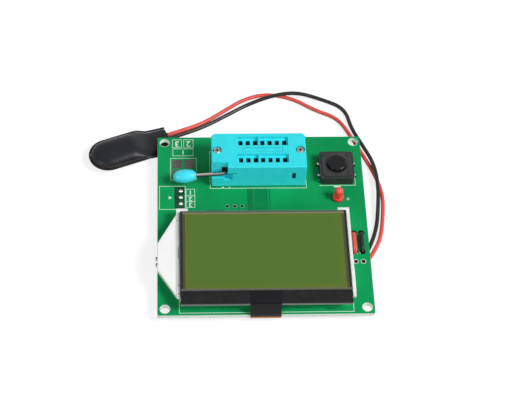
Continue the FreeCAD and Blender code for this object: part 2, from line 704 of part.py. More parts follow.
# Frame: white tray with side walls, corner hooks behind the glass and the lamp's wedge on the left
def backlight_frame():
    solids = [block(frame_x0, frame_x1, frame_y0, frame_y1, top, rear_z)]
    for x0, side in ((frame_x0, 1), (frame_x1, -1)):
        inner = x0 + side * FRAME_WALL
        solids.append(block(min(x0, inner), max(x0, inner), frame_y0, hook_y1, top, top + FRAME_SIDE_H))
        hook_end = x0 + side * HOOK_L
        solids.append(block(min(x0, hook_end), max(x0, hook_end), hook_y0, hook_y1, top, top + FRAME_SIDE_H))
    rib_x1 = frame_x1 + SIDE_RIB_T
    solids.append(block(frame_x1, rib_x1, frame_y0, frame_y0 + SIDE_RIB_L, top, top + SIDE_RIB_H))
    tip = WEDGE_TIP_W / 2
    wedge = [(guide_x0, wedge_front), (guide_x0, hook_y1), (board_left, wedge_y + tip),
             (board_left, wedge_y - tip)]
    solids.append(prism(wedge, top, top + WEDGE_H))
    body = fuse(solids)
    cuts = [block(guide_x0 - FIT, guide_x1 + FIT, guide_y0 - GAP, guide_y1 + GAP, top + FRAME_FLOOR, rear_z)]
    cuts.append(prism(light_way(tongue_x - GAP, 0), top + FRAME_FLOOR, top + WEDGE_H - WEDGE_ROOF))
    cuts.append(block(lamp_x0 - GAP, tongue_x, lamp_y0 - GAP, lamp_y1 + GAP, lamp_z0, lamp_z1 + GAP))
    for y in lamp_lead_ys:
        half = LAMP_LEAD_W / 2 + FIT
        cuts.append(block(board_left, lamp_x0, y - half, y + half, lamp_z0, lamp_z0 + LAMP_LEAD_T + FIT))
    return body.cut(cuts)


def light_guide():
    plate = block(guide_x0, guide_x1, guide_y0, guide_y1, guide_z0, film_z0)
    tongue = prism(light_way(tongue_x, GAP), guide_z0, top + WEDGE_H - WEDGE_ROOF - GAP)
    return plate.fuse(tongue).removeSplitter()


# Lamp lead: flat strip out of the wedge's tip and down past the board's edge
def lamp_lead(y):
    x_in = board_left - LAMP_LEAD_OUT
    x_out = x_in - LAMP_LEAD_T
    outline = [(lamp_x0, lamp_z0), (x_in, lamp_z0), (x_in, 0), (x_out, 0), (x_out, lamp_z0 + LAMP_LEAD_T),
               (lamp_x0, lamp_z0 + LAMP_LEAD_T)]
    return profile_y(outline, y - LAMP_LEAD_W / 2, y + LAMP_LEAD_W / 2)


nodes["backlight_frame"] = backlight_frame()
nodes["light_guide"] = light_guide()
nodes["lcd_rear_polariser"] = block(guide_x0 + FILM_INSET, guide_x1 - FILM_INSET, guide_y0 + FILM_INSET,
                                    guide_y1 - FILM_INSET, film_z0, rear_z)
nodes["backlight_reflector"] = block(guide_x0, guide_x1, guide_y0, guide_y1, top + FRAME_FLOOR, guide_z0)
nodes["backlight_led"] = block(lamp_x0, lamp_x0 + LAMP_W, lamp_y0, lamp_y1, lamp_z0, lamp_z1)
nodes["backlight_leads"] = [lamp_lead(y) for y in lamp_lead_ys]

# Push switch
switch_x = board_right - SWITCH_FROM_RIGHT
switch_y = board_back - SWITCH_FROM_BACK
plate_z0 = top + SWITCH_H
plate_z1 = plate_z0 + PLATE_T
chamber_d = BUTTON_FLANGE_D + 2 * GAP
studs = [(switch_x + sx * STUD_PITCH / 2, switch_y + sy * STUD_PITCH / 2) for sx in (-1, 1) for sy in (-1, 1)]


def square(side, z0, z1, radius):
    half = side / 2
    solid = block(switch_x - half, switch_x + half, switch_y - half, switch_y + half, z0, z1)
    return round_upright_edges(solid, radius, lambda p: True)


# Housing: moulded square with a round chamber and four studs that are upset over the plate
def switch_housing():
    solids = [square(SWITCH_SIDE, top, plate_z0, SWITCH_R)]
    for x, y in studs:
        solids.append(rod(STUD_D, (x, y, plate_z0), (x, y, plate_z1)))
        head = rod(STUD_HEAD_D, (x, y, plate_z1), (x, y, plate_z1 + STUD_HEAD_H))
        solids.append(head.makeChamfer(STUD_HEAD_H / 2, top_edges(head)))
    chamber = rod(chamber_d, (switch_x, switch_y, top + SWITCH_FLOOR), (switch_x, switch_y, plate_z0))
    return fuse(solids).cut(chamber)


def switch_plate():
    plate = square(PLATE_SIDE, plate_z0, plate_z1, PLATE_R)
    holes = [rod(BUTTON_D + 2 * GAP, (switch_x, switch_y, plate_z0), (switch_x, switch_y, plate_z1))]
    for x, y in studs:
        holes.append(rod(STUD_D + 2 * FIT, (x, y, plate_z0), (x, y, plate_z1)))
    return plate.cut(holes)


# Button: round cap with a flange under the plate and a plunger over the dome
def switch_button():
    flange_z1 = plate_z0 - FIT
    flange_z0 = flange_z1 - BUTTON_FLANGE_T
    plunger_z = top + SWITCH_FLOOR + DOME_H + BUTTON_TRAVEL + FIT
    cap_r = BUTTON_D / 2
    outline = polyline([(0, plunger_z), (PLUNGER_D / 2, plunger_z), (PLUNGER_D / 2, flange_z0),
                        (BUTTON_FLANGE_D / 2, flange_z0), (BUTTON_FLANGE_D / 2, flange_z1), (cap_r, flange_z1),
                        (cap_r, top + BUTTON_TOP), (0, top + BUTTON_TOP), (0, plunger_z)])
    cap = turned(outline, switch_x, switch_y)
    return cap.makeFillet(BUTTON_EDGE_R, top_edges(cap))


# Dome: pressed snap disc on the chamber's floor, with a flat crown
def switch_dome():
    floor = top + SWITCH_FLOOR
    crown = floor + DOME_H
    rim = DOME_D / 2
    flat = PLUNGER_D / 2
    outline = polyline([(0, crown), (0, crown - DOME_T), (flat, crown - DOME_T), (rim - DOME_T, floor),
                        (rim, floor), (rim, floor + DOME_T), (flat, crown), (0, crown)])
    return turned(outline, switch_x, switch_y)


def switch_pin(side, y):
    """Flat terminal: out of the housing's side and down through the board."""
    x_in = switch_x + side * SWITCH_SIDE / 2
    x_mid = switch_x + side * SWITCH_PIN_SPAN / 2
    half_t = side * SWITCH_PIN_T / 2
    z1 = top + SWITCH_PIN_UP
    outline = [(x_in, z1 - SWITCH_PIN_T), (x_mid - half_t, z1 - SWITCH_PIN_T), (x_mid - half_t, 0),
               (x_mid + half_t, 0), (x_mid + half_t, z1), (x_in, z1)]
    return profile_y(outline, y - SWITCH_PIN_W / 2, y + SWITCH_PIN_W / 2)


switch_pin_places = [(side, switch_y + sy * SWITCH_PIN_PITCH / 2) for side in (-1, 1) for sy in (-1, 1)]
switch_holes = [(switch_x + side * SWITCH_PIN_SPAN / 2, y) for side, y in switch_pin_places]
nodes["switch_housing"] = switch_housing()
nodes["switch_plate"] = switch_plate()
nodes["switch_button"] = switch_button()
nodes["switch_dome"] = switch_dome()
nodes["switch_pins"] = [switch_pin(side, y) for side, y in switch_pin_places]

# Indicator lamp: round-nosed lens on a flange, with two legs through the board
led_x = board_right - LED_FROM_RIGHT
led_y = board_back - LED_FROM_BACK
led_z = top + LED_LIFT
led_holes = [(led_x - LED_PITCH / 2, led_y), (led_x + LED_PITCH / 2, led_y)]


def indicator_led():
    nose = LED_D / 2
    flange = LED_FLANGE_D / 2
    shoulder = led_z + LED_H - nose
    lower = polyline([(0, led_z + LED_H), (0, led_z), (flange, led_z), (flange, led_z + LED_FLANGE_H),
                      (nose, led_z + LED_FLANGE_H), (nose, shoulder)])
    diagonal = nose * math.sqrt(0.5)
    dome = Part.Arc(V(nose, 0, shoulder), V(diagonal, 0, shoulder + diagonal), V(0, 0, led_z + LED_H))
    return turned(lower + [dome.toShape()], led_x, led_y)


def led_leg(x, y):
    half = LED_LEG / 2
    return block(x - half, x + half, y - half, y + half, 0, led_z)


nodes["indicator_led"] = indicator_led()
nodes["indicator_leads"] = [led_leg(x, y) for x, y in led_holes]

# Circuit on the underside: packages hang below the board
resistor_places = [(RESISTOR_ROW_X + RESISTOR_PITCH * i, RESISTOR_ROW_Y, 90) for i in range(RESISTOR_ROW)]
resistor_places += [(4.0, 4.5, 0), (4.0, 1.6, 0), (4.0, -1.3, 0), (9.0, -12.0, 90), (12.0, -12.0, 90),
                    (15.0, -16.0, 0), (20.0, -16.0, 0)]
capacitor_places = [(-22.5, -7.4, 0), (-22.5, -10.6, 0), (-6.0, -16.4, 0), (2.2, -9.0, 90), (14.0, -5.0, 90),
                    (20.0, -11.6, 0), (25.6, -7.0, 90)]
transistor_places = [(11.0, 5.2), (16.4, 5.2), (11.0, -0.6)]


def turned_block(x, y, angle, x0, x1, y0, y1, z0, z1):
    solid = block(x0, x1, y0, y1, z0, z1)
    solid.rotate(V(0, 0, 0), UP, angle)
    solid.translate(V(x, y, 0))
    return solid


def chip_body(place, thickness):
    half_l, half_w = CHIP_BODY[0] / 2, CHIP_BODY[1] / 2
    return turned_block(*place, -half_l, half_l, -half_w, half_w, UNDER - thickness, UNDER)


def chip_ends(place, thickness):
    half_l, half_w = CHIP_BODY[0] / 2, CHIP_BODY[1] / 2
    spans = ((-half_l - CHIP_END, -half_l), (half_l, half_l + CHIP_END))
    return [turned_block(*place, x0, x1, -half_w, half_w, UNDER - thickness, UNDER) for x0, x1 in spans]


def gull_lead(x, y, angle, body_half, body_t):
    """Formed lead: from the package's side, down and out to the board. Its heading is the given angle."""
    mid = UNDER - CHIP_GAP - body_t / 2
    t = LEAD_FOOT_T
    knee = body_half + LEAD_KNEE
    outline = [(body_half, mid), (knee, mid), (knee, UNDER), (body_half + LEAD_REACH, UNDER),
               (body_half + LEAD_REACH, UNDER - t), (knee + t, UNDER - t), (knee + t, mid - t),
               (body_half, mid - t)]
    lead = profile_y(outline, -LEAD_FOOT_W / 2, LEAD_FOOT_W / 2)
    lead.rotate(V(0, 0, 0), UP, angle)
    lead.translate(V(x, y, 0))
    return lead


def mcu_leads():
    leads = []
    for side in range(4):
        angle = 90 * side
        across = math.radians(angle + 90)
        for i in range(MCU_LEADS_PER_SIDE):
            step = (i - (MCU_LEADS_PER_SIDE - 1) / 2) * MCU_PITCH
            leads.append(gull_lead(MCU_X + step * math.cos(across), MCU_Y + step * math.sin(across), angle,
                                   MCU_SIDE / 2, MCU_T))
    return leads


def package(place, size, gap=CHIP_GAP):
    x, y = place
    length, width, height = size
    z1 = UNDER - gap
    return block(x - length / 2, x + length / 2, y - width / 2, y + width / 2, z1 - height, z1)


def transistor_leads(place):
    x, y = place
    half_w, height = TRANSISTOR[1] / 2, TRANSISTOR[2]
    leads = [gull_lead(x + dx, y, 270, half_w, height) for dx in (-TRANSISTOR_PITCH, TRANSISTOR_PITCH)]
    return leads + [gull_lead(x, y, 90, half_w, height)]


def regulator_leads():
    x, y = REGULATOR_AT
    half_w, height = REGULATOR[1] / 2, REGULATOR[2]
    return [gull_lead(x + i * REGULATOR_PITCH, y, 270, half_w, height) for i in (-1, 0, 1)]


package_leads = mcu_leads() + regulator_leads()
for place in transistor_places:
    package_leads += transistor_leads(place)
end_caps = []
for place in resistor_places:
    end_caps += chip_ends(place, RESISTOR_T)
for place in capacitor_places:
    end_caps += chip_ends(place, CAPACITOR_T)
nodes["microcontroller"] = package((MCU_X, MCU_Y), (MCU_SIDE, MCU_SIDE, MCU_T))
nodes["crystal"] = package(CRYSTAL_AT, CRYSTAL, 0)
nodes["regulator"] = package(REGULATOR_AT, REGULATOR)
nodes["transistors"] = [package(place, TRANSISTOR) for place in transistor_places]
nodes["resistors"] = [chip_body(place, RESISTOR_T) for place in resistor_places]
nodes["capacitors"] = [chip_body(place, CAPACITOR_T) for place in capacitor_places]
nodes["package_leads"] = package_leads
nodes["chip_ends"] = end_caps

# Circuit board
lead_black_x = board_right - LEAD_BLACK_FROM_RIGHT
lead_red_x = lead_black_x - LEAD_PITCH
lead_joint_y = board_back - LEAD_JOINT_FROM_BACK
lead_drop_y = lead_joint_y - STITCH_L


def circuit_board():
    body = block(board_left, board_right, board_front, board_back, UNDER, top)
    body = round_upright_edges(body, BOARD_CORNER_R, lambda p: True)
    holes = [(x, y, TAIL_HOLE_D) for x, y in pins]
    holes += [(x, y, SWITCH_HOLE_D) for x, y in switch_holes]
    holes += [(x, y, LED_HOLE_D) for x, y in led_holes]
    mount_x = board_right - MOUNT_INSET_X
    mount_y = board_back - MOUNT_INSET_Y
    holes += [(sx * mount_x, sy * mount_y, MOUNT_D) for sx in (-1, 1) for sy in (-1, 1)]
    header_y = board_back - HEADER_FROM_BACK
    holes += [(HEADER_X + (i - 1) * HEADER_PITCH, header_y - row * HEADER_PITCH, HEADER_HOLE_D)
              for i in range(3) for row in range(2)]
    for x in (lead_red_x, lead_black_x):
        holes += [(x, lead_joint_y, LEAD_HOLE_D), (x, lead_drop_y, LEAD_HOLE_D)]
        holes.append((x, lead_drop_y - SPARE_FROM_DROP, SPARE_HOLE_D))
    return body.cut([rod(d, (x, y, UNDER), (x, y, top)) for x, y, d in holes])


nodes["circuit_board"] = circuit_board()

# Solder under the switch, the lamp and the leads; the leads' tinned cores stand on the table
def lead_joint(x):
    collar_r = LEAD_HOLE_D / 2 + SOLDER_COLLAR
    cone = Part.makeCone(CORE_D / 2, collar_r, 2 * SOLDER_H, V(x, lead_joint_y, UNDER - 2 * SOLDER_H))
    core = rod(CORE_D, (x, lead_joint_y, 0), (x, lead_joint_y, UNDER - SOLDER_H))
    seat = rod(LEAD_D + 2 * FIT, (x, lead_joint_y, UNDER - LEAD_STUB), (x, lead_joint_y, UNDER))
    return cone.fuse(core).cut(seat).removeSplitter()


joints = [lead_joint(lead_red_x), lead_joint(lead_black_x)]
for (x, y), pin in zip(switch_holes, nodes["switch_pins"]):
    joints.append(solder_fillet(x, y, SWITCH_HOLE_D, SWITCH_PIN_W / 2, pin))
for (x, y), leg in zip(led_holes, nodes["indicator_leads"]):
    joints.append(solder_fillet(x, y, LED_HOLE_D, LED_LEG / 2, leg))
nodes["joint_solder"] = joints

# Battery leads: from the joint up through the board, along its top, down again and over the table
lead_r = LEAD_D / 2
lie = lead_r + FIT
stitch = top + lead_r + STITCH_LIFT
cross_over = 3 * lead_r + CROSS_LIFT
snap_turn = math.radians(SNAP_TURN)


def snap_point(s, across, z):
    """A point of the snap: s along it from the round end's centre, across it to the back."""
    return (SNAP_X + s * math.cos(snap_turn) - across * math.sin(snap_turn),
            SNAP_Y + s * math.sin(snap_turn) + across * math.cos(snap_turn), z)


exit_z = SNAP_NECK_LOW + SNAP_NECK_T / 2


def stitch_points(x):
    middle_y = (lead_joint_y + lead_drop_y) / 2
    return [(x, lead_joint_y, UNDER - LEAD_STUB), (x, lead_joint_y, stitch), (x, middle_y, stitch + STITCH_BOW),
            (x, lead_drop_y, stitch), (x, lead_drop_y, lie)]


black_route = stitch_points(lead_black_x) + [
    (36.4, -9.0, lie), (39.6, -0.4, lie), (40.8, 8.7, 1.9), (41.5, 18.1, cross_over), (40.6, 27.4, cross_over),
    (37.7, 36.3, lie), (34.0, 44.6, lie), (32.2, 54.3, lie), (23.6, 58.8, lie), (14.5, 60.9, cross_over),
    (5.3, 59.1, cross_over), (-3.6, 56.1, lie), (-11.3, 51.0, lie), (-19.0, 45.7, 1.1),
    snap_point(SNAP_END + LEAD_RUN_IN, LEAD_EXIT_BLACK, exit_z), snap_point(SNAP_END, LEAD_EXIT_BLACK, exit_z)]
red_route = stitch_points(lead_red_x) + [
    (32.3, -15.2, lie), (35.2, -14.3, lie), (37.6, -10.8, lie), (40.7, -4.7, lie), (42.3, 5.0, lie),
    (43.0, 14.3, lie), (40.9, 23.4, lie), (37.3, 32.1, lie), (33.8, 40.4, lie), (29.5, 49.5, lie),
    (21.1, 53.4, lie), (13.6, 58.9, lie), (4.1, 61.4, lie), (-4.5, 58.9, lie), (-12.3, 52.9, lie),
    (-19.6, 47.4, 0.8), snap_point(SNAP_END + LEAD_RUN_IN, LEAD_EXIT_RED, exit_z),
    snap_point(SNAP_END, LEAD_EXIT_RED, exit_z)]


def lead(name, route):
    radii = loosest_bends(route)
    wire = route_wire(route, radii)
    tube = swept_circle(wire, LEAD_D)
    ratio = tube.Volume / (math.pi * lead_r ** 2 * wire.Length)
    print(name, "length", round(wire.Length, 1), "volume ratio", round(ratio, 4))
    print(name, "radii", [round(radius, 1) for radius in radii])
    return tube


nodes["red_lead"] = lead("red_lead", red_route)
nodes["black_lead"] = lead("black_lead", black_route)


# Battery snap, drawn along +X from the round end's centre, then turned and put in place
def snap_place(solid):
    solid.rotate(V(0, 0, 0), UP, SNAP_TURN)
    solid.translate(V(SNAP_X, SNAP_Y, 0))
    return solid


def snap_plan(inset, end):
    """Plan of the sleeve: a round end, straight sides and a taper to the leads."""
    half = SNAP_HALF_W - inset
    end_half = SNAP_END_HALF_W - inset
    edges = [Part.Arc(V(0, half, 0), V(-half, 0, 0), V(0, -half, 0)).toShape(),
             Part.LineSegment(V(0, -half, 0), V(SNAP_SHOULDER, -half, 0)).toShape(),
             Part.LineSegment(V(SNAP_SHOULDER, -half, 0), V(end, -end_half, 0)).toShape(),
             Part.LineSegment(V(end, -end_half, 0), V(end, end_half, 0)).toShape(),
             Part.LineSegment(V(end, end_half, 0), V(SNAP_SHOULDER, half, 0)).toShape(),
             Part.LineSegment(V(SNAP_SHOULDER, half, 0), V(0, half, 0)).toShape()]
    return Part.Face(Part.Wire(edges)).extrude(V(0, 0, SNAP_TOP))


snap_plate_z0 = SNAP_BOTTOM + SNAP_WALL
snap_plate_z1 = snap_plate_z0 + SNAP_PLATE_T
snap_socket_s = SNAP_STUD_S + SNAP_CONTACT_PITCH
snap_plate_end = snap_socket_s + SNAP_RIVET_D / 2 + SNAP_WALL


def snap_cover():
    neck_top = SNAP_NECK_LOW + SNAP_NECK_T
    side = [(-SNAP_HALF_W, SNAP_BOTTOM), (SNAP_SLOPE_BOTTOM, SNAP_BOTTOM), (SNAP_NECK, SNAP_NECK_LOW),
            (SNAP_END, SNAP_NECK_LOW), (SNAP_END, neck_top), (SNAP_NECK, neck_top), (SNAP_SLOPE_TOP, SNAP_TOP),
            (-SNAP_HALF_W, SNAP_TOP)]
    sleeve = snap_plan(0, SNAP_END).common(profile_y(side, -SNAP_HALF_W, SNAP_HALF_W))
    crown = [edge for edge in top_edges(sleeve) if edge.BoundBox.XMin < SNAP_SLOPE_TOP - GAP]
    sleeve = sleeve.makeFillet(SNAP_SOFT_R, crown)
    inside = block(-SNAP_HALF_W, snap_plate_end + GAP, -SNAP_HALF_W, SNAP_HALF_W, snap_plate_z0,
                   snap_plate_z1 + SNAP_RIVET_H)
    hollow = snap_plan(SNAP_WALL, SNAP_END).common(inside)
    mouths = [rod(SNAP_STUD_D + 2 * GAP, (SNAP_STUD_S, 0, 0), (SNAP_STUD_S, 0, snap_plate_z0)),
              rod(SNAP_SOCKET_D + 2 * GAP, (snap_socket_s, 0, 0), (snap_socket_s, 0, snap_plate_z0))]
    return snap_place(sleeve.cut([hollow] + mouths))


def snap_plate():
    layer = block(-SNAP_HALF_W, snap_plate_end, -SNAP_HALF_W, SNAP_HALF_W, snap_plate_z0, snap_plate_z1)
    plate = snap_plan(SNAP_WALL + GAP, SNAP_END).common(layer)
    holes = [rod(SNAP_RIVET_D + 2 * FIT, (s, 0, snap_plate_z0), (s, 0, snap_plate_z1))
             for s in (SNAP_STUD_S, snap_socket_s)]
    return snap_place(plate.cut(holes))


def rivet_outline():
    """The terminal's shank through the plate and its upset end on top."""
    shank = SNAP_RIVET_D / 2
    upset = SNAP_RIVET_END_D / 2
    end = snap_plate_z1 + SNAP_RIVET_H - GAP
    return [(shank, snap_plate_z0), (shank, snap_plate_z1), (upset, snap_plate_z1), (upset, end), (0, end)]


def snap_stud():
    head = SNAP_STUD_D / 2
    neck = SNAP_STUD_NECK_D / 2
    band = SNAP_STUD_EDGE + SNAP_STUD_BAND
    waist = band + head - neck
    outline = [(0, 0), (head - SNAP_STUD_EDGE, 0), (head, SNAP_STUD_EDGE), (head, band), (neck, waist),
               (neck, waist + SNAP_STUD_NECK_H), (head, snap_plate_z0)] + rivet_outline() + [(0, 0)]
    return snap_place(turned(polyline(outline), SNAP_STUD_S, 0))


def snap_socket():
    cup = SNAP_SOCKET_D / 2
    wall = SNAP_SOCKET_WALL
    lip = SNAP_SOCKET_LIP
    ceiling = snap_plate_z0 - wall
    outline = [(0, ceiling), (cup - wall - lip, ceiling), (cup - wall - lip, lip), (cup - wall, 0),
               (cup - lip, 0), (cup, lip), (cup, ceiling), (cup - lip, snap_plate_z0)]
    outline += rivet_outline() + [(0, ceiling)]
    cup_solid = turned(polyline(outline), snap_socket_s, 0)
    cuts = []
    for i in range(SNAP_SOCKET_PETALS):
        slot = block(0, SNAP_SOCKET_D, -wall / 2, wall / 2, 0, ceiling - wall)
        slot.rotate(V(0, 0, 0), UP, 360 / SNAP_SOCKET_PETALS * i)
        slot.translate(V(snap_socket_s, 0, 0))
        cuts.append(slot)
    return snap_place(cup_solid.cut(cuts))


nodes["snap_cover"] = snap_cover()
nodes["snap_plate"] = snap_plate()
nodes["snap_stud"] = snap_stud()
nodes["snap_socket"] = snap_socket()

for name, shape in nodes.items():
    if isinstance(shape, list):
        shape = Part.makeCompound(shape)
    shape.exportStep("parts/" + name + ".step")
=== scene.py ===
import math

import bpy
from mathutils import Matrix, Vector


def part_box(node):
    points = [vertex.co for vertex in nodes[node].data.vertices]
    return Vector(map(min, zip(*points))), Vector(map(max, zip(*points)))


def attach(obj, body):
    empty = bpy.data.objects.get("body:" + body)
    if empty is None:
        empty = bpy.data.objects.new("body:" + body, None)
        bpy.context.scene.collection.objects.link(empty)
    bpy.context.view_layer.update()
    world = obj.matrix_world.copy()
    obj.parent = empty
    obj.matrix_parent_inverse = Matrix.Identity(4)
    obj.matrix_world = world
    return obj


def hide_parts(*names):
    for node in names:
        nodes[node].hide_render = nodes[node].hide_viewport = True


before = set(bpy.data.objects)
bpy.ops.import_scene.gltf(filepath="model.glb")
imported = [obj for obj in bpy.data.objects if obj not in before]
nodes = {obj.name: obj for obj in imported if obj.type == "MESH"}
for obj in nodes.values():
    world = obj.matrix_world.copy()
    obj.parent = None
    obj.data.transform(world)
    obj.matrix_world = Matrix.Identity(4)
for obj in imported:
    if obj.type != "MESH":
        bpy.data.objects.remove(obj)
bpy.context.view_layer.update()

# Camera: a long lens that looks down on the board from its front edge, a little from the left and
# rolled by three degrees, as the photograph was taken.
MM = 0.001
LENS_MM = 116.884
SENSOR_W_MM = 36
CLIP_START = 0.01
CAMERA_DISTANCE = 568.439 * MM
CAMERA_TARGET = Vector((-2.874, 6.569, 4.6)) * MM
camera_turn, camera_tilt, camera_roll = (math.radians(v) for v in (-4.375, 52.985, 3.039))
back = Vector((math.sin(camera_turn) * math.cos(camera_tilt), -math.cos(camera_turn) * math.cos(camera_tilt),
               math.sin(camera_tilt)))
level_right = Vector((math.cos(camera_turn), math.sin(camera_turn), 0))
level_up = back.cross(level_right)
right = math.cos(camera_roll) * level_right + math.sin(camera_roll) * level_up
up = math.cos(camera_roll) * level_up - math.sin(camera_roll) * level_right
camera = bpy.data.objects.new("camera", bpy.data.cameras.new("camera"))
bpy.context.collection.objects.link(camera)
camera.data.lens = LENS_MM
camera.data.sensor_fit = "HORIZONTAL"
camera.data.sensor_width = SENSOR_W_MM
camera.data.clip_start = CLIP_START
camera.matrix_world = Matrix.Translation(CAMERA_TARGET + back * CAMERA_DISTANCE) @ Matrix(
    (right, up, back)).transposed().to_4x4()
bpy.context.scene.camera = camera
bpy.context.scene.view_settings.view_transform = "Standard"

# Battery leads: stranded wire in soft vinyl, soldered under the board, threaded up and down through it
# as a strain relief, then loose over the table to the battery clip. A route is its control points.
LEAD_D = 1.4
LIE = 0.75
OVER = 2.3
STITCH = 5.55
STITCH_CROWN = 0.2
JOINT_Y, JOINT_Z = -4.9, 2.7
DROP_Y = -12.75
RED_X = 31.0
BLACK_X = 33.54
SNAP_X, SNAP_Y = -53.3, 31.3
SNAP_TURN = math.radians(21)
SNAP_END = 23.2
MOUTH_RUN = 5.5
MOUTH_Z = 1.4
RED_ACROSS, BLACK_ACROSS = 2.2, 0.45
RELIEF_MM = 0.02


def snap_point(s, across, z):
    """Place on the battery clip, along it from its round end's centre and across it."""
    return (SNAP_X + s * math.cos(SNAP_TURN) - across * math.sin(SNAP_TURN),
            SNAP_Y + s * math.sin(SNAP_TURN) + across * math.cos(SNAP_TURN), z)


def stitch_points(x):
    """Way of a lead from its soldered joint up through the board, over it and down to the table."""
    return [(x, JOINT_Y, JOINT_Z), (x, JOINT_Y, STITCH), (x, (JOINT_Y + DROP_Y) / 2, STITCH + STITCH_CROWN),
            (x, DROP_Y, STITCH), (x, DROP_Y, LIE)]


def mouth_points(across):
    """Last two points of a lead, straight into the mouth of the clip."""
    return [snap_point(SNAP_END + MOUTH_RUN, across, MOUTH_Z), snap_point(SNAP_END, across, MOUTH_Z)]


black_route = stitch_points(BLACK_X) + [
    (36.4, -9.0, LIE), (39.6, -0.4, LIE), (40.8, 8.7, 1.9), (41.5, 18.1, OVER), (40.6, 27.4, OVER),
    (37.7, 36.3, LIE), (34.0, 44.6, LIE), (32.2, 54.3, LIE), (23.6, 58.8, LIE), (14.5, 60.9, OVER),
    (5.3, 59.1, OVER), (-3.6, 56.1, LIE), (-11.3, 51.0, LIE), (-19.0, 45.7, 1.1)] + mouth_points(BLACK_ACROSS)
red_route = stitch_points(RED_X) + [
    (32.3, -15.2, LIE), (35.2, -14.3, LIE), (37.6, -10.8, LIE), (40.7, -4.7, LIE), (42.3, 5.0, LIE),
    (43.0, 14.3, LIE), (40.9, 23.4, LIE), (37.3, 32.1, LIE), (33.8, 40.4, LIE), (29.5, 49.5, LIE),
    (21.1, 53.4, LIE), (13.6, 58.9, LIE), (4.1, 61.4, LIE), (-4.5, 58.9, LIE), (-12.3, 52.9, LIE),
    (-19.6, 47.4, 0.8)] + mouth_points(RED_ACROSS)


def node_material(name):
    """New material with its tree, its shader and the piece's own coordinates."""
    material = bpy.data.materials.new(name)
    material.use_nodes = True
    tree = material.node_tree
    place = tree.nodes.new("ShaderNodeTexCoord")
    return material, tree, tree.nodes["Principled BSDF"], place


def noise(tree, place, per_mm, detail, stretch=(1, 1, 1)):
    """Noise with so many grains to the millimetre, drawn out along an axis where stretched."""
    mapping = tree.nodes.new("ShaderNodeMapping")
    mapping.inputs["Scale"].default_value = stretch
    tree.links.new(place.outputs["Object"], mapping.inputs["Vector"])
    texture = tree.nodes.new("ShaderNodeTexNoise")
    texture.inputs["Scale"].default_value = per_mm / MM
    texture.inputs["Detail"].default_value = detail
    tree.links.new(mapping.outputs["Vector"], texture.inputs["Vector"])
    return texture.outputs["Fac"]


def ramp(tree, factor, low, high, start=0.3, end=0.7):
    """Colour or grey that goes from low to high over part of the factor's range."""
    node = tree.nodes.new("ShaderNodeValToRGB")
    for stop, position, value in zip(node.color_ramp.elements, (start, end), (low, high)):
        stop.position = position
        stop.color = (*value, 1) if isinstance(value, tuple) else (value, value, value, 1)
    tree.links.new(factor, node.inputs["Fac"])
    return node.outputs["Color"]


def bump(tree, shader, height, strength, depth):
    """Relief in the shading, as deep as given where the height is one."""
    node = tree.nodes.new("ShaderNodeBump")
    node.inputs["Strength"].default_value = strength
    node.inputs["Distance"].default_value = depth
    tree.links.new(height, node.inputs["Height"])
    tree.links.new(node.outputs["Normal"], shader.inputs["Normal"])


def surface(name, dark, light, rough, grain, relief, metal=0.0, stretch=(1, 1, 1), gloss=0.25):
    """Material with grained colour, uneven gloss and a fine relief."""
    material, tree, shader, place = node_material(name)
    cloud = noise(tree, place, grain, 4.0, stretch)
    tree.links.new(ramp(tree, cloud, dark, light), shader.inputs["Base Color"])
    fine = noise(tree, place, grain * 6, 2.0, stretch)
    tree.links.new(ramp(tree, fine, rough * 0.85, min(1.0, rough * 1.15)), shader.inputs["Roughness"])
    bump(tree, shader, fine, relief, RELIEF_MM * MM)
    shader.inputs["Metallic"].default_value = metal
    shader.inputs["Specular IOR Level"].default_value = gloss
    return material


def lead(name, route, material):
    """Round wire along a smooth line that the route's points draw."""
    curve = bpy.data.curves.new(name, "CURVE")
    curve.dimensions = "3D"
    spline = curve.splines.new("NURBS")
    spline.points.add(len(route) - 1)
    for point, place in zip(spline.points, route):
        point.co = (*(Vector(place) * MM), 1)
    spline.order_u = 3
    spline.use_endpoint_u = True
    spline.resolution_u = 12
    curve.bevel_depth = LEAD_D / 2 * MM
    curve.bevel_resolution = 6
    curve.use_fill_caps = True
    wire = bpy.data.objects.new(name, curve)
    bpy.context.collection.objects.link(wire)
    curve.materials.append(material)
    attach(wire, "board")
    return wire


red_vinyl = surface("red_vinyl", (0.66, 0.075, 0.06), (0.78, 0.1, 0.082), rough=0.36, grain=0.5, relief=0.15)
black_vinyl = surface("black_vinyl", (0.01, 0.009, 0.009), (0.018, 0.016, 0.016),
                      rough=0.28, grain=0.5, relief=0.15, gloss=0.3)
red_wire = lead("red_wire", red_route, red_vinyl)
black_wire = lead("black_wire", black_route, black_vinyl)
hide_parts("red_lead")
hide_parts("black_lead")

# Clip sleeve: soft black vinyl with a leather grain, welded round its rim over a fibre card that holds
# the two terminals, puffed over the rivets and flattened where the leads come out.
SLEEVE_HALF_W = 7.0
SLEEVE_END_NEAR, SLEEVE_END_FAR = 4.7, 6.0
SLEEVE_SHOULDER = 12.0
RIM_W = 0.7
RIM_Z, RIM_DROP, RIM_LOW_AT = 3.1, 1.7, 17.0
PUFF_TOP, FLAT_TOP = 6.15, 2.55
PUFF_UNDER, FLAT_UNDER = 1.95, 0.3
TOP_FALLS_AT, UNDER_FALLS_AT, FLAT_AT = 8.0, 13.0, 16.5
CROWN_SQUARE, CROWN_FLAT = 2.6, 0.65
END_SQUARE, END_FLAT = 3, 0.6
UNDER_FULL = 1.6
RIPPLE, RIPPLE_ALONG, RIPPLE_ACROSS = 0.09, 0.42, 1.6
ROUND_SHARE = 0.3
MOUTH_WALL, MOUTH_TUCK = 0.35, 0.8
WELD = 0.02
PORES_PER_MM, PORE_DEPTH = 2.6, 0.05


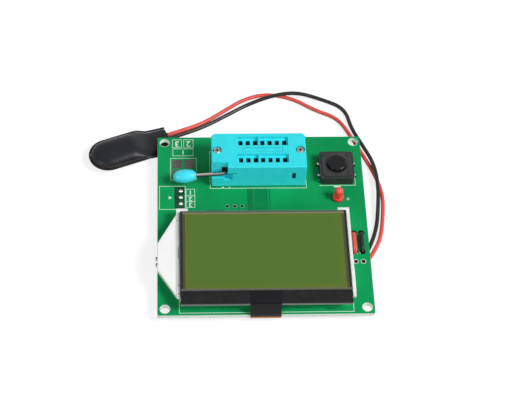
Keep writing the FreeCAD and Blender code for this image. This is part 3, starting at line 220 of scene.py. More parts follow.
def blank(operator, **settings):
    """Adds a primitive with nothing else selected."""
    bpy.ops.object.select_all(action="DESELECT")
    operator(**settings)
    return bpy.context.object


def joined(pieces):
    """Makes several pieces one, under the first."""
    bpy.ops.object.select_all(action="DESELECT")
    for piece in pieces:
        piece.select_set(True)
    bpy.context.view_layer.objects.active = pieces[0]
    bpy.ops.object.join()
    return pieces[0]


def smoothstep(value, start, end):
    """Goes from nothing to one between start and end, level at both."""
    t = min(1.0, max(0.0, (value - start) / (end - start)))
    return t * t * (3 - 2 * t)


def sleeve_half_width(s, side, inset):
    """Half-width of the sleeve's outline, drawn in by an inset, on the far (1) or the near (-1) side."""
    if s < 0:
        return math.sqrt(max(0.0, (SLEEVE_HALF_W - inset) ** 2 - s * s))
    taper = min(1.0, max(0.0, (s - SLEEVE_SHOULDER) / (SNAP_END - SLEEVE_SHOULDER)))
    end = SLEEVE_END_FAR if side > 0 else SLEEVE_END_NEAR
    return SLEEVE_HALF_W + (end - SLEEVE_HALF_W) * taper - inset


def sleeve_rim(s):
    """Height of the welded rim along the sleeve."""
    return RIM_Z - RIM_DROP * smoothstep(s, SLEEVE_SHOULDER, RIM_LOW_AT)


def sleeve_face(upper):
    """One half of the sleeve: a grid drawn to the plan, then raised or lowered to its puffed height."""
    face = blank(bpy.ops.mesh.primitive_grid_add, x_subdivisions=44, y_subdivisions=18, size=2)
    round_end = SLEEVE_HALF_W - RIM_W
    for vertex in face.data.vertices:
        share, across = (vertex.co.x + 1) / 2, vertex.co.y
        if share < ROUND_SHARE:
            s = -round_end * math.cos(share / ROUND_SHARE * math.pi / 2)
        else:
            s = SNAP_END * (share - ROUND_SHARE) / (1 - ROUND_SHARE)
        half = sleeve_half_width(s, across, RIM_W)
        rim = sleeve_rim(s)
        roundness = (1 - abs(across) ** CROWN_SQUARE) ** CROWN_FLAT
        if s < 0:
            roundness *= (1 - (-s / round_end) ** END_SQUARE) ** END_FLAT
        if upper:
            fall = smoothstep(s, TOP_FALLS_AT, FLAT_AT)
            height = rim + (PUFF_TOP + (FLAT_TOP - PUFF_TOP) * fall - rim) * roundness
            height += RIPPLE * math.sin(RIPPLE_ALONG * s + RIPPLE_ACROSS * across) * roundness * (1 - fall)
        else:
            fall = smoothstep(s, UNDER_FALLS_AT, FLAT_AT)
            fullness = min(1.0, UNDER_FULL * roundness)
            height = rim + (PUFF_UNDER + (FLAT_UNDER - PUFF_UNDER) * fall - rim) * fullness
        vertex.co = Vector(snap_point(s, across * half, height)) * MM
    return face


sleeve = joined([sleeve_face(True), sleeve_face(False)])
sleeve.name = "clip_sleeve"
bpy.ops.object.mode_set(mode="EDIT")
bpy.ops.mesh.select_all(action="SELECT")
bpy.ops.mesh.remove_doubles(threshold=WELD * MM)
bpy.ops.mesh.select_all(action="DESELECT")
bpy.ops.mesh.select_non_manifold()
bpy.ops.mesh.edge_face_add()
bpy.ops.mesh.inset(thickness=MOUTH_WALL * MM)
mouth_in = Vector(snap_point(-MOUTH_TUCK, 0, 0)) * MM - Vector(snap_point(0, 0, 0)) * MM
bpy.ops.transform.translate(value=mouth_in)
bpy.ops.mesh.select_all(action="SELECT")
bpy.ops.mesh.normals_make_consistent(inside=False)
bpy.ops.object.mode_set(mode="OBJECT")
soften = sleeve.modifiers.new("soften", "SUBSURF")
soften.levels = soften.render_levels = 1
bpy.ops.object.modifier_apply(modifier=soften.name)
bpy.ops.object.shade_smooth()

leatherette, tree, shader, place = node_material("leatherette")
pores = tree.nodes.new("ShaderNodeTexVoronoi")
pores.inputs["Scale"].default_value = PORES_PER_MM / MM
tree.links.new(place.outputs["Object"], pores.inputs["Vector"])
tree.links.new(ramp(tree, noise(tree, place, 0.25, 4.0), (0.006, 0.0065, 0.009), (0.011, 0.012, 0.016)),
               shader.inputs["Base Color"])
shader.inputs["Specular IOR Level"].default_value = 0.2
tree.links.new(ramp(tree, pores.outputs["Distance"], 0.48, 0.32, 0.0, 0.6), shader.inputs["Roughness"])
bump(tree, shader, pores.outputs["Distance"], 0.35, PORE_DEPTH * MM)
sleeve.data.materials.append(leatherette)
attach(sleeve, "board")
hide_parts("snap_cover")

# Welded rim: the bead where the two vinyl sheets of the sleeve were melted together under a hot tool.
# It runs from the mouth round the far end and back, and drops with the flattened part.
RIM_STEPS, ROUND_STEPS = 20, 12


def rim_edge(side):
    """Line of the rim on one side, from the mouth to the round end."""
    radius = SLEEVE_HALF_W - RIM_W / 2
    stations = [SNAP_END * i / RIM_STEPS for i in range(RIM_STEPS, 0, -1)]
    stations += [-radius * math.sin(math.pi / 2 * i / ROUND_STEPS) for i in range(ROUND_STEPS)]
    return [snap_point(s, side * sleeve_half_width(s, side, RIM_W / 2), sleeve_rim(s)) for s in stations]


rim_tip = snap_point(RIM_W / 2 - SLEEVE_HALF_W, 0, sleeve_rim(0))
rim_places = rim_edge(1) + [rim_tip] + rim_edge(-1)[::-1]
rim_curve = bpy.data.curves.new("clip_rim", "CURVE")
rim_curve.dimensions = "3D"
rim_line = rim_curve.splines.new("POLY")
rim_line.points.add(len(rim_places) - 1)
for point, spot in zip(rim_line.points, rim_places):
    point.co = (*(Vector(spot) * MM), 1)
rim_curve.bevel_depth = RIM_W / 2 * MM
rim_curve.bevel_resolution = 3
rim_curve.use_fill_caps = True
clip_rim = bpy.data.objects.new("clip_rim", rim_curve)
bpy.context.collection.objects.link(clip_rim)
bpy.ops.object.select_all(action="DESELECT")
clip_rim.select_set(True)
bpy.context.view_layer.objects.active = clip_rim
bpy.ops.object.convert(target="MESH")
bpy.ops.object.shade_smooth()
clip_rim.data.materials.clear()
clip_rim.data.materials.append(leatherette)
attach(clip_rim, "board")


def dress(material, *names):
    """Gives CAD nodes a finish."""
    for name in names:
        nodes[name].data.materials.clear()
        nodes[name].data.materials.append(material)


nickel = surface("nickel_plate", (0.62, 0.6, 0.56), (0.74, 0.72, 0.68),
                 rough=0.22, grain=0.6, relief=0.1, metal=1.0)
fibre_card = surface("fibre_card", (0.03, 0.025, 0.02), (0.06, 0.05, 0.042),
                     rough=0.75, grain=0.7, relief=0.3)
dress(nickel, "snap_stud", "snap_socket")
dress(fibre_card, "snap_plate")

# Circuit board: glass-fibre sheet, sawn to size and drilled, under a green solder mask on both faces.
# Its edges and corner holes show the pale laminate, and the walls of its pin holes are painted dark as
# painted shade.
EDGE_X, EDGE_Y = 35.8, 37.5
CORNER_X, CORNER_Y = 31.5, 33.2
# Painted shade: the walls of the pin holes are coloured near black.
PIN_WALL_PAINTED_SHADE = (0.02, 0.024, 0.018)


def number_node(tree, operation, *values):
    """Arithmetic on sockets and plain numbers."""
    node = tree.nodes.new("ShaderNodeMath")
    node.operation = operation
    for socket, value in zip(node.inputs, values):
        if isinstance(value, (int, float)):
            socket.default_value = value
        else:
            tree.links.new(value, socket)
    return node.outputs["Value"]


def mixed(tree, factor, first, second):
    """First colour, or the second where the factor is one."""
    node = tree.nodes.new("ShaderNodeMix")
    node.data_type = "RGBA"
    tree.links.new(factor, node.inputs["Factor"])
    for socket, value in ((node.inputs[6], first), (node.inputs[7], second)):
        if isinstance(value, tuple):
            socket.default_value = (*value, 1)
        else:
            tree.links.new(value, socket)
    return node.outputs[2]


def axes_of(tree, vector):
    """The three axes of a place or a normal."""
    node = tree.nodes.new("ShaderNodeSeparateXYZ")
    tree.links.new(vector, node.inputs["Vector"])
    return node.outputs


board_mask, tree, shader, place = node_material("solder_mask")
upright = number_node(tree, "ABSOLUTE", axes_of(tree, place.outputs["Normal"])["Z"])
from_middle = [number_node(tree, "ABSOLUTE", axis) for axis in axes_of(tree, place.outputs["Object"])]
within = number_node(tree, "MULTIPLY", number_node(tree, "LESS_THAN", from_middle[0], EDGE_X * MM),
                     number_node(tree, "LESS_THAN", from_middle[1], EDGE_Y * MM))
corner = number_node(tree, "MULTIPLY", number_node(tree, "GREATER_THAN", from_middle[0], CORNER_X * MM),
                     number_node(tree, "GREATER_THAN", from_middle[1], CORNER_Y * MM))
shaded_pin_walls = number_node(tree, "MULTIPLY", within, number_node(tree, "SUBTRACT", 1.0, corner))
mask_colour = ramp(tree, noise(tree, place, 0.06, 3.0), (0.0025, 0.25, 0.071), (0.006, 0.335, 0.102))
laminate = ramp(tree, noise(tree, place, 1.2, 2.0, (0.2, 0.2, 3.0)), (0.74, 0.86, 0.75), (0.9, 0.97, 0.9))
walls = mixed(tree, shaded_pin_walls, laminate, PIN_WALL_PAINTED_SHADE)
tree.links.new(mixed(tree, number_node(tree, "GREATER_THAN", upright, 0.5), walls, mask_colour),
               shader.inputs["Base Color"])
shader.inputs["Specular IOR Level"].default_value = 0.07
weave = noise(tree, place, 1.4, 2.0)
tree.links.new(ramp(tree, weave, 0.32, 0.42), shader.inputs["Roughness"])
bump(tree, shader, weave, 0.06, RELIEF_MM * MM)
dress(board_mask, "circuit_board")

# Copper under the mask: the etched tracks and the pour between socket and display stand a hair proud
# of the laminate, so the mask over them is slightly raised and darker.
BOARD_TOP = 4.6
TRACK_T = 0.035
TRACKS = ((-4.85, 2.6, -2.8, 14.6), (2.7, 2.6, 3.05, 14.6), (-19.6, 4.9, -12.9, 5.3),
          (-19.6, 3.4, -15.4, 3.8), (19.4, -35.9, 23.2, -35.5), (8.6, -35.2, 14.8, -34.9))
POUR = (-2.4, 2.6, 2.2, 14.6)


def settled(piece, name, material):
    """Puts the piece's place into its mesh, then names it, finishes it and sets it on the board."""
    bpy.ops.object.select_all(action="DESELECT")
    piece.select_set(True)
    bpy.context.view_layer.objects.active = piece
    bpy.ops.object.transform_apply(location=True, rotation=True, scale=True)
    piece.name = name
    piece.data.name = name
    piece.data.materials.clear()
    piece.data.materials.append(material)
    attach(piece, "board")


def sheet_bar(x0, y0, x1, y1, z, thickness):
    """Thin printed or plated patch: a plane at its size, extruded by its thickness."""
    patch = blank(bpy.ops.mesh.primitive_plane_add, size=1,
                  location=((x0 + x1) / 2 * MM, (y0 + y1) / 2 * MM, z * MM))
    patch.scale = (abs(x1 - x0) * MM, abs(y1 - y0) * MM, 1)
    bpy.ops.object.transform_apply(location=True, rotation=True, scale=True)
    bpy.ops.object.mode_set(mode="EDIT")
    bpy.ops.mesh.select_all(action="SELECT")
    bpy.ops.mesh.extrude_region_move(TRANSFORM_OT_translate={"value": (0, 0, thickness * MM)})
    bpy.ops.object.mode_set(mode="OBJECT")
    return patch


buried_copper = surface("buried_copper", (0.003, 0.13, 0.042), (0.006, 0.19, 0.06),
                        rough=0.36, grain=0.2, relief=0.08, gloss=0.2)
buried_pour = surface("buried_pour", (0.002, 0.19, 0.056), (0.004, 0.225, 0.07),
                      rough=0.36, grain=0.2, relief=0.08, gloss=0.1)
tracks = [sheet_bar(*track, BOARD_TOP, TRACK_T) for track in TRACKS]
settled(joined(tracks), "mask_tracks", buried_copper)
settled(sheet_bar(*POUR, BOARD_TOP, TRACK_T), "mask_pour", buried_pour)

# Screen print: white epoxy ink, pressed through a screen on to the mask and baked. It draws the outlines
# of the parts, the lamp's plus sign and the triangle at the test points.
INK_T = 0.05
INK_W = 0.17
INK_BOXES = ((-30.7, 33.1, -27.5, 36.7), (-26.75, 33.1, -23.4, 36.7), (-30.6, 29.4, -23.45, 32.55),
             (-31.4, 18.6, -22.4, 28.25), (-35.3, 5.8, -26.35, 15.85), (-26.1, 6.56, -23.1, 14.5),
             (-17.67, 14.75, 15.9, 31.2), (-28.75, -36.9, 28.95, 2.9))
SWITCH_BOX = (20.6, 15.7, 33.1, 28.6)
INK_DASHES = [(-26.0, 9.02, -23.2, 9.19), (-26.0, 11.57, -23.2, 11.74), (33.02, 15.7, 33.18, 20.2),
              (-13.6, 15.0, -12.9, 15.35), (-11.2, 15.0, -10.7, 15.35), (25.5, 14.9, 27.8, 15.5),
              (29.5, 9.62, 30.7, 9.82), (30.0, 9.1, 30.2, 9.62), (30.0, 9.82, 30.2, 10.35)]
TRIANGLE_X, TRIANGLE_Y, TRIANGLE_R = -31.7, 10.85, 0.78


def ink_box(x0, y0, x1, y1):
    """Four bars round a box: front, back, left and right."""
    half = INK_W / 2
    return [(x0 - half, y0 - half, x1 + half, y0 + half), (x0 - half, y1 - half, x1 + half, y1 + half),
            (x0 - half, y0 + half, x0 + half, y1 - half), (x1 - half, y0 + half, x1 + half, y1 - half)]


ink_white = surface("screen_ink", (0.52, 0.76, 0.6), (0.76, 0.92, 0.8), rough=0.6, grain=1.5, relief=0.3)
ink_bars = [bar for box in INK_BOXES for bar in ink_box(*box)]
ink_bars += ink_box(*SWITCH_BOX)[:1] + INK_DASHES
ink_pieces = [sheet_bar(*bar, BOARD_TOP, INK_T) for bar in ink_bars]
ink_pieces.append(blank(
    bpy.ops.mesh.primitive_cylinder_add, vertices=3, radius=TRIANGLE_R * MM, depth=INK_T * MM,
    location=(TRIANGLE_X * MM, TRIANGLE_Y * MM, (BOARD_TOP + INK_T / 2) * MM), rotation=(0, 0, -math.pi / 2)))
settled(joined(ink_pieces), "ink_lines", ink_white)

# Numbers of the test points: plain figures in the same white ink, printed in one pass with the outlines.
# They stand upside down from the display's side, to be read from the socket's side of the board.
DIGITS = (("3", -29.1, 34.9, 2.5), ("2", -25.08, 34.9, 2.5), ("1", -27.0, 31.0, 1.8),
          ("1", -24.6, 13.05, 1.9), ("2", -24.6, 10.35, 1.9), ("3", -24.6, 7.8, 1.9))
SIZE_TO_HEIGHT = 1.4
INK_SPREAD = 0.05
printed = []
for digit, x, y, height in DIGITS:
    sign = blank(bpy.ops.object.text_add, location=(x * MM, y * MM, BOARD_TOP * MM), rotation=(0, 0, math.pi))
    sign.data.body = digit
    sign.data.size = height * SIZE_TO_HEIGHT * MM
    sign.data.align_x = "CENTER"
    sign.data.align_y = "CENTER"
    sign.data.extrude = INK_T / 2 * MM
    sign.data.offset = INK_SPREAD * MM
    bpy.ops.object.convert(target="MESH")
    bpy.ops.object.transform_apply(location=True, rotation=True, scale=True)
    printed.append(bpy.context.object)
settled(joined(printed), "ink_numbers", ink_white)

# Bare pads: tinned copper left open in the mask. Four large flat ones take surface-mount parts under
# test and are dull from handling, and three small ones with domes of solder lie on a dark strip of
# painted shade.
PAD_T = 0.06
STRIP_T = PAD_T * 0.6
LARGE_PAD_X = ((-30.8, -27.5), (-26.6, -23.1))
LARGE_PAD_Y = ((23.7, 27.5), (19.2, 23.0))
PAD_SHADE_STRIP = (-30.1, 6.2, -26.7, 15.5)
SMALL_PAD_X = -27.9
SMALL_PAD_Y = (13.7, 10.95, 8.2)
SMALL_PAD_R = (0.75, 0.62, 0.42)
dull_tin = surface("dull_tin", (0.06, 0.06, 0.05), (0.12, 0.115, 0.098),
                   rough=0.5, grain=0.8, relief=0.25, metal=0.4)
# Painted shade: the dark sheet round the small pads.
pad_painted_shade = surface("pad_painted_shade", (0.004, 0.028, 0.015), (0.02, 0.1, 0.055),
                    rough=0.4, grain=0.45, relief=0.2, gloss=0.1)
bright_tin = surface("bright_tin", (0.62, 0.63, 0.62), (0.84, 0.84, 0.82),
                     rough=0.34, grain=1.2, relief=0.3, metal=0.8)
large_pads = [sheet_bar(x0, y0, x1, y1, BOARD_TOP, PAD_T) for x0, x1 in LARGE_PAD_X for y0, y1 in LARGE_PAD_Y]
settled(joined(large_pads), "test_pads", dull_tin)
settled(sheet_bar(*PAD_SHADE_STRIP, BOARD_TOP, STRIP_T), "pad_shade_strip", pad_painted_shade)
small_pads = []
for y in SMALL_PAD_Y:
    pad = blank(bpy.ops.mesh.primitive_uv_sphere_add, segments=24, ring_count=12, radius=1,
                location=(SMALL_PAD_X * MM, y * MM, BOARD_TOP * MM))
    pad.scale = [radius * MM for radius in SMALL_PAD_R]
    bpy.ops.object.transform_apply(location=True, rotation=True, scale=True)
    bpy.ops.object.mode_set(mode="EDIT")
    bpy.ops.mesh.select_all(action="SELECT")
    bpy.ops.mesh.bisect(plane_co=(0, 0, BOARD_TOP * MM), plane_no=(0, 0, 1), clear_inner=True, use_fill=True)
    bpy.ops.object.mode_set(mode="OBJECT")
    bpy.ops.object.shade_smooth_by_angle(angle=0.6)
    small_pads.append(pad)
settled(joined(small_pads), "lead_pads", bright_tin)

# Plated rims: a flat tinned copper collar round every open hole, plated in one with the hole on both
# faces of the board. The header's collars are dulled green by the mask that has run over them.
BOARD_UNDER = 3.0
RIM_T = 0.05
RIM_GAP = 0.02
PITCH = 2.54
HEADER_X, HEADER_Y = -9.36, (6.98, 4.44)
OPEN_RIMS = [(side * 33.5, end * 35.25, 1.6, 1.76) for side in (-1, 1) for end in (-1, 1)]
OPEN_RIMS += [(x, -16.82, 0.7, 0.92) for x in (RED_X, BLACK_X)]
HEADER_RIMS = [(HEADER_X + PITCH * i, y, 0.5, 0.78) for i in (-1, 0, 1) for y in HEADER_Y]


def rim_ring(x, y, z, inner, outer, thickness):
    """Flat collar: a ring of edges, extruded outwards in plan and then given its thickness."""
    middle = (x * MM, y * MM, z * MM)
    ring = blank(bpy.ops.mesh.primitive_circle_add, vertices=40, radius=inner * MM, location=middle)
    bpy.ops.object.transform_apply(location=True, rotation=True, scale=True)
    bpy.ops.object.mode_set(mode="EDIT")
    bpy.ops.mesh.select_all(action="SELECT")
    bpy.ops.mesh.extrude_edges_move()
    bpy.ops.transform.resize(value=(outer / inner, outer / inner, 1), center_override=middle)
    bpy.ops.mesh.select_all(action="SELECT")
    bpy.ops.mesh.normals_make_consistent(inside=False)
    bpy.ops.mesh.extrude_region_move(TRANSFORM_OT_translate={"value": (0, 0, thickness * MM)})
    bpy.ops.mesh.select_all(action="SELECT")
    bpy.ops.mesh.normals_make_consistent(inside=False)
    bpy.ops.object.mode_set(mode="OBJECT")
    return ring


def collars(name, places, material):
    """Collars on both faces of the board, each a hair clear of its hole."""
    rings = [rim_ring(x, y, z, inner + RIM_GAP, outer, thickness)
             for z, thickness in ((BOARD_TOP, RIM_T), (BOARD_UNDER, -RIM_T)) for x, y, inner, outer in places]
    settled(joined(rings), name, material)


green_tin = surface("green_tin", (0.08, 0.26, 0.15), (0.18, 0.42, 0.28), rough=0.45, grain=0.8, relief=0.2)
collars("open_hole_rims", OPEN_RIMS, bright_tin)
collars("pin_hole_rims", HEADER_RIMS, green_tin)

# Lever socket: base and cover in satin cyan thermoplastic, moulded apart and screwed together. The base
# has a pocket under the lever's bend, and both have a clearance hole round the lever's shaft. The entries,
# the slot in the front, the gap in the parting line by the lever and the other hollows are painted darker
# as painted shade, the line round the middle panel is painted shade as well, and the parting line carries
# a painted highlight.
SOCKET_PART_Z = 12.0
PART_LINE_HALF = 0.08
PIN_FIELD_X, PIN_FIELD_Y = 0.6, 23.35
PIN_FIELD_HALF_X, PIN_FIELD_HALF_Y = 9.3, 5.5
ENTRY_TOP = 14.0
PANEL_L, PANEL_W = 13.9, 1.8
PANEL_LINE_HALF = 0.1
ENTRY_SHADE = (0.01, 0.13, 0.17)
PART_LINE_PAINTED_HIGHLIGHT = (0.05, 0.8, 0.87)
PANEL_LINE_SHADE = (0.018, 0.46, 0.52)
DEEP_SHADE = (0.005, 0.07, 0.08)
FRONT_SLOT = ((11.3, 16.6, 10.5), (0.62, 1.05, 1.52))
BEND_HOLLOW = ((-10.8, 16.72, 11.0), (0.85, 1.1, 1.0))
SHAFT_HOLLOW = ((-12.5, 18.25, 11.5), (1.4, 0.45, 1.6))
PART_GAP = ((-9.2, 15.5, SOCKET_PART_Z), (0.9, 0.1, 0.12))
BEND_POCKET = ((-12.9, 15.4, 8.3), (-10.0, 17.1, 9.4))
SHAFT_HOLE_BASE = ((-13.7, 17.6, 10.4), (-11.3, 18.55, 12.1))
SHAFT_HOLE_COVER = ((-13.7, 17.6, 11.2), (-11.65, 18.55, 12.9))
SEAM_MM = 0.001


def near(tree, axis, middle, half):
    """One within half a width, in millimetres, of a place on an axis."""
    return number_node(tree, "COMPARE", axis, middle * MM, half * MM)


def carved(name, node, boxes, material):
    """Copy of a CAD node with boxes cut out of it, which then stands for the node."""
    piece = bpy.data.objects.new(name, nodes[node].data.copy())
    bpy.context.collection.objects.link(piece)
    bpy.ops.object.select_all(action="DESELECT")
    piece.select_set(True)
    bpy.context.view_layer.objects.active = piece
    bpy.ops.mesh.customdata_custom_splitnormals_clear()
    bpy.ops.object.mode_set(mode="EDIT")
    bpy.ops.mesh.select_all(action="SELECT")
    bpy.ops.mesh.remove_doubles(threshold=SEAM_MM * MM)
    bpy.ops.object.mode_set(mode="OBJECT")
    for low, high in boxes:
        low, high = Vector(low) * MM, Vector(high) * MM
        cutter = blank(bpy.ops.mesh.primitive_cube_add, size=1, location=(low + high) / 2)
        cutter.scale = high - low
        bpy.ops.object.transform_apply(location=True, rotation=True, scale=True)
        bpy.context.view_layer.objects.active = piece
        cut = piece.modifiers.new("cut", "BOOLEAN")
        cut.object = cutter
        bpy.ops.object.modifier_apply(modifier=cut.name)
        bpy.data.objects.remove(cutter)
    settled(piece, name, material)
    bpy.ops.object.shade_smooth_by_angle(angle=0.5)
    even = piece.modifiers.new("even", "WEIGHTED_NORMAL")
    even.keep_sharp = True
    bpy.ops.object.modifier_apply(modifier=even.name)
    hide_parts(node)


cyan_moulding, tree, shader, place = node_material("cyan_moulding")
x_axis, y_axis, z_axis = axes_of(tree, place.outputs["Object"])
cyan = ramp(tree, noise(tree, place, 0.35, 4.0), (0.028, 0.66, 0.74), (0.036, 0.73, 0.81))
field = number_node(tree, "MULTIPLY", near(tree, x_axis, PIN_FIELD_X, PIN_FIELD_HALF_X),
                    near(tree, y_axis, PIN_FIELD_Y, PIN_FIELD_HALF_Y))
inside = number_node(tree, "MULTIPLY", field, number_node(tree, "LESS_THAN", z_axis, ENTRY_TOP * MM))
cyan = mixed(tree, inside, cyan, ENTRY_SHADE)
# Painted highlight: a lighter band along the parting line.
cyan = mixed(tree, near(tree, z_axis, SOCKET_PART_Z, PART_LINE_HALF), cyan, PART_LINE_PAINTED_HIGHLIGHT)
panel = [number_node(tree, "MULTIPLY", near(tree, x_axis, PIN_FIELD_X, PANEL_L / 2 + grow),
                     near(tree, y_axis, PIN_FIELD_Y, PANEL_W / 2 + grow))
         for grow in (PANEL_LINE_HALF, -PANEL_LINE_HALF)]
cyan = mixed(tree, number_node(tree, "SUBTRACT", *panel), cyan, PANEL_LINE_SHADE)
for middle, half in (FRONT_SLOT, BEND_HOLLOW, SHAFT_HOLLOW, PART_GAP):
    hollow = [near(tree, axis, *span) for axis, *span in zip((x_axis, y_axis, z_axis), middle, half)]
    hollow = number_node(tree, "MULTIPLY", number_node(tree, "MULTIPLY", hollow[0], hollow[1]), hollow[2])
    cyan = mixed(tree, hollow, cyan, DEEP_SHADE)
tree.links.new(cyan, shader.inputs["Base Color"])
satin = noise(tree, place, 2.2, 2.0)
tree.links.new(ramp(tree, satin, 0.4, 0.52), shader.inputs["Roughness"])
bump(tree, shader, satin, 0.2, RELIEF_MM * MM)
shader.inputs["Specular IOR Level"].default_value = 0.25
carved("socket_base", "zif_base", [BEND_POCKET, SHAFT_HOLE_BASE], cyan_moulding)
carved("socket_cover", "zif_cover", [SHAFT_HOLE_COVER], cyan_moulding)

# Slider and contacts: a natural-coloured moulding that the lever's cam pushes along, and the forked
# contacts, stamped from tinned strip, that it closes on the legs of a component.
slider_moulding = surface("slider_moulding", (0.6, 0.6, 0.56), (0.72, 0.72, 0.68),
                          rough=0.5, grain=0.4, relief=0.2)
phosphor_tin = surface("tinned_strip", (0.5, 0.5, 0.48), (0.66, 0.66, 0.63),
                       rough=0.3, grain=0.8, relief=0.2, metal=0.95)
dress(slider_moulding, "zif_slider")
dress(phosphor_tin, "zif_contacts")

# Lever: steel rod, drawn bright and bent into a shaft that turns in slots of the socket's base. It is
# polished along its length, and a painted highlight makes it brightest on the faces that are up while the
# lever lies down.
DRAWN_SHADE = (0.14, 0.125, 0.115)
drawn_steel, tree, shader, place = node_material("drawn_steel")
drawn = noise(tree, place, 0.5, 3.0, (0.12, 1, 1))
facing_up = axes_of(tree, place.outputs["Normal"])["Z"]
# Painted highlight: faces that point up are coloured much lighter than the rest.
painted_top_highlight = ramp(tree, facing_up, (0.12, 0.108, 0.1), (0.66, 0.62, 0.56), 0.8, 0.97)
tree.links.new(mixed(tree, number_node(tree, "MULTIPLY", drawn, 0.5), painted_top_highlight, DRAWN_SHADE),
               shader.inputs["Base Color"])
tree.links.new(ramp(tree, drawn, 0.2, 0.3), shader.inputs["Roughness"])
shader.inputs["Metallic"].default_value = 1.0
dress(drawn_steel, "zif_lever")

# Bead: the lever's finger grip, in the same cyan thermoplastic as the socket, moulded with a higher
# gloss over the end of the rod.
bead_moulding = surface("bead_moulding", (0.04, 0.66, 0.8), (0.05, 0.74, 0.88),
                        rough=0.26, grain=0.35, relief=0.1, gloss=0.35)
dress(bead_moulding, "zif_knob")

# Socket screws: plated steel with a cross recess, driven through the cover into the base. The plating is
# a little uneven, and the recess is painted dark as painted shade.
RECESS_TOP = 15.0
RECESS_SHADE = (0.07, 0.06, 0.05)
screw_plate, tree, shader, place = node_material("screw_plate")
plating = ramp(tree, noise(tree, place, 1.6, 4.0), (0.26, 0.25, 0.23), (0.56, 0.55, 0.52))
# Painted shade: everything below the top of the recess is coloured dark.
recess_painted_shade = number_node(tree, "LESS_THAN", axes_of(tree, place.outputs["Object"])["Z"], RECESS_TOP * MM)
tree.links.new(mixed(tree, recess_painted_shade, plating, RECESS_SHADE), shader.inputs["Base Color"])
tree.links.new(ramp(tree, noise(tree, place, 5.0, 2.0), 0.28, 0.42), shader.inputs["Roughness"])
shader.inputs["Metallic"].default_value = 0.9
dress(screw_plate, "zif_screws")

# Solder: bright fillets under the board that hold the pins of the socket and the other joints, rippled
# where they cooled.
bright_solder = surface("bright_solder", (0.5, 0.51, 0.52), (0.72, 0.73, 0.74),
                        rough=0.22, grain=0.9, relief=0.5, metal=1.0)
dress(bright_solder, "zif_solder", "joint_solder")

# Display: two plates of glass, bonded round their edges by a dark seal, with an olive polarising film on
# top and another below. The film browns towards its edges, where the seal shows through it.
film_low, film_high = (Vector(corner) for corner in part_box("lcd_front_polariser"))
film_half_w = (film_high.x - film_low.x) / 2
film_half_d = (film_high.y - film_low.y) / 2
polariser, tree, shader, place = node_material("olive_polariser")
centred = tree.nodes.new("ShaderNodeMapping")
centred.inputs["Location"].default_value = -(film_low + film_high) / 2
tree.links.new(place.outputs["Object"], centred.inputs["Vector"])
film_x, film_y, _ = axes_of(tree, centred.outputs["Vector"])
across_share = number_node(tree, "DIVIDE", number_node(tree, "ABSOLUTE", film_x), film_half_w)
along_share = number_node(tree, "DIVIDE", number_node(tree, "ABSOLUTE", film_y), film_half_d)
olive = ramp(tree, number_node(tree, "MAXIMUM", across_share, along_share),
             (0.08, 0.158, 0.026), (0.112, 0.152, 0.024), 0.84, 0.97)
from_side = number_node(tree, "SUBTRACT", film_half_w, number_node(tree, "ABSOLUTE", film_x))
from_back = number_node(tree, "SUBTRACT", film_half_d, film_y)
from_front = number_node(tree, "ADD", film_half_d, film_y)
EDGE_BANDS = ((from_side, 1.6, (0.066, 0.074, 0.04)), (from_back, 1.3, (0.21, 0.19, 0.12)),
              (from_back, 0.75, (0.075, 0.115, 0.085)), (from_side, 0.75, (0.022, 0.024, 0.018)),
              (from_back, 0.2, (0.1, 0.15, 0.12)), (from_front, 0.45, (0.13, 0.125, 0.095)))
for distance, width, colour in EDGE_BANDS:
    olive = mixed(tree, number_node(tree, "LESS_THAN", distance, width * MM), olive, colour)
tree.links.new(olive, shader.inputs["Base Color"])
tree.links.new(ramp(tree, noise(tree, place, 0.8, 2.0), 0.32, 0.4), shader.inputs["Roughness"])
shader.inputs["Specular IOR Level"].default_value = 0.1
dress(polariser, "lcd_front_polariser")

GLASS_IOR = 1.5
display_glass, tree, shader, place = node_material("display_glass")
tree.links.new(ramp(tree, noise(tree, place, 0.05, 2.0), (0.13, 0.17, 0.145), (0.2, 0.25, 0.21)),
               shader.inputs["Base Color"])
tree.links.new(ramp(tree, noise(tree, place, 1.5, 2.0), 0.06, 0.14), shader.inputs["Roughness"])
shader.inputs["Transmission Weight"].default_value = 0.25
shader.inputs["IOR"].default_value = GLASS_IOR
dress(display_glass, "lcd_rear_glass", "lcd_front_glass")
inner_film = surface("inner_film", (0.1, 0.13, 0.05), (0.13, 0.16, 0.06), rough=0.4, grain=0.2, relief=0.05)
dress(inner_film, "lcd_rear_polariser")
bare_chip = surface("bare_chip", (0.03, 0.03, 0.035), (0.06, 0.06, 0.07), rough=0.2, grain=0.6, relief=0.05)
dress(bare_chip, "lcd_driver_chip")

# Ledge film and ribbon: black protective film over the bonded ledge, and the printed tail that wraps
# round the board's edge, brown-black over its copper lines and copper-orange at its fold.
RIBBON_X, RIBBON_HALF_W = -0.3, 5.35
RIBBON_LINES_PER_MM = 0.32
FOLD_TOP = 3.95
FOLD_COPPER = (0.62, 0.27, 0.09)
LEDGE_OVER_RIBBON = (0.008, 0.0075, 0.01)
ledge_film, tree, shader, place = node_material("ledge_film")
black = ramp(tree, noise(tree, place, 0.3, 4.0), (0.011, 0.011, 0.012), (0.018, 0.018, 0.019))
over_ribbon = near(tree, axes_of(tree, place.outputs["Object"])["X"], RIBBON_X, RIBBON_HALF_W)
tree.links.new(mixed(tree, over_ribbon, black, LEDGE_OVER_RIBBON), shader.inputs["Base Color"])
tree.links.new(ramp(tree, noise(tree, place, 1.8, 2.0), 0.4, 0.52), shader.inputs["Roughness"])
shader.inputs["Specular IOR Level"].default_value = 0.1
dress(ledge_film, "lcd_ledge_cover")

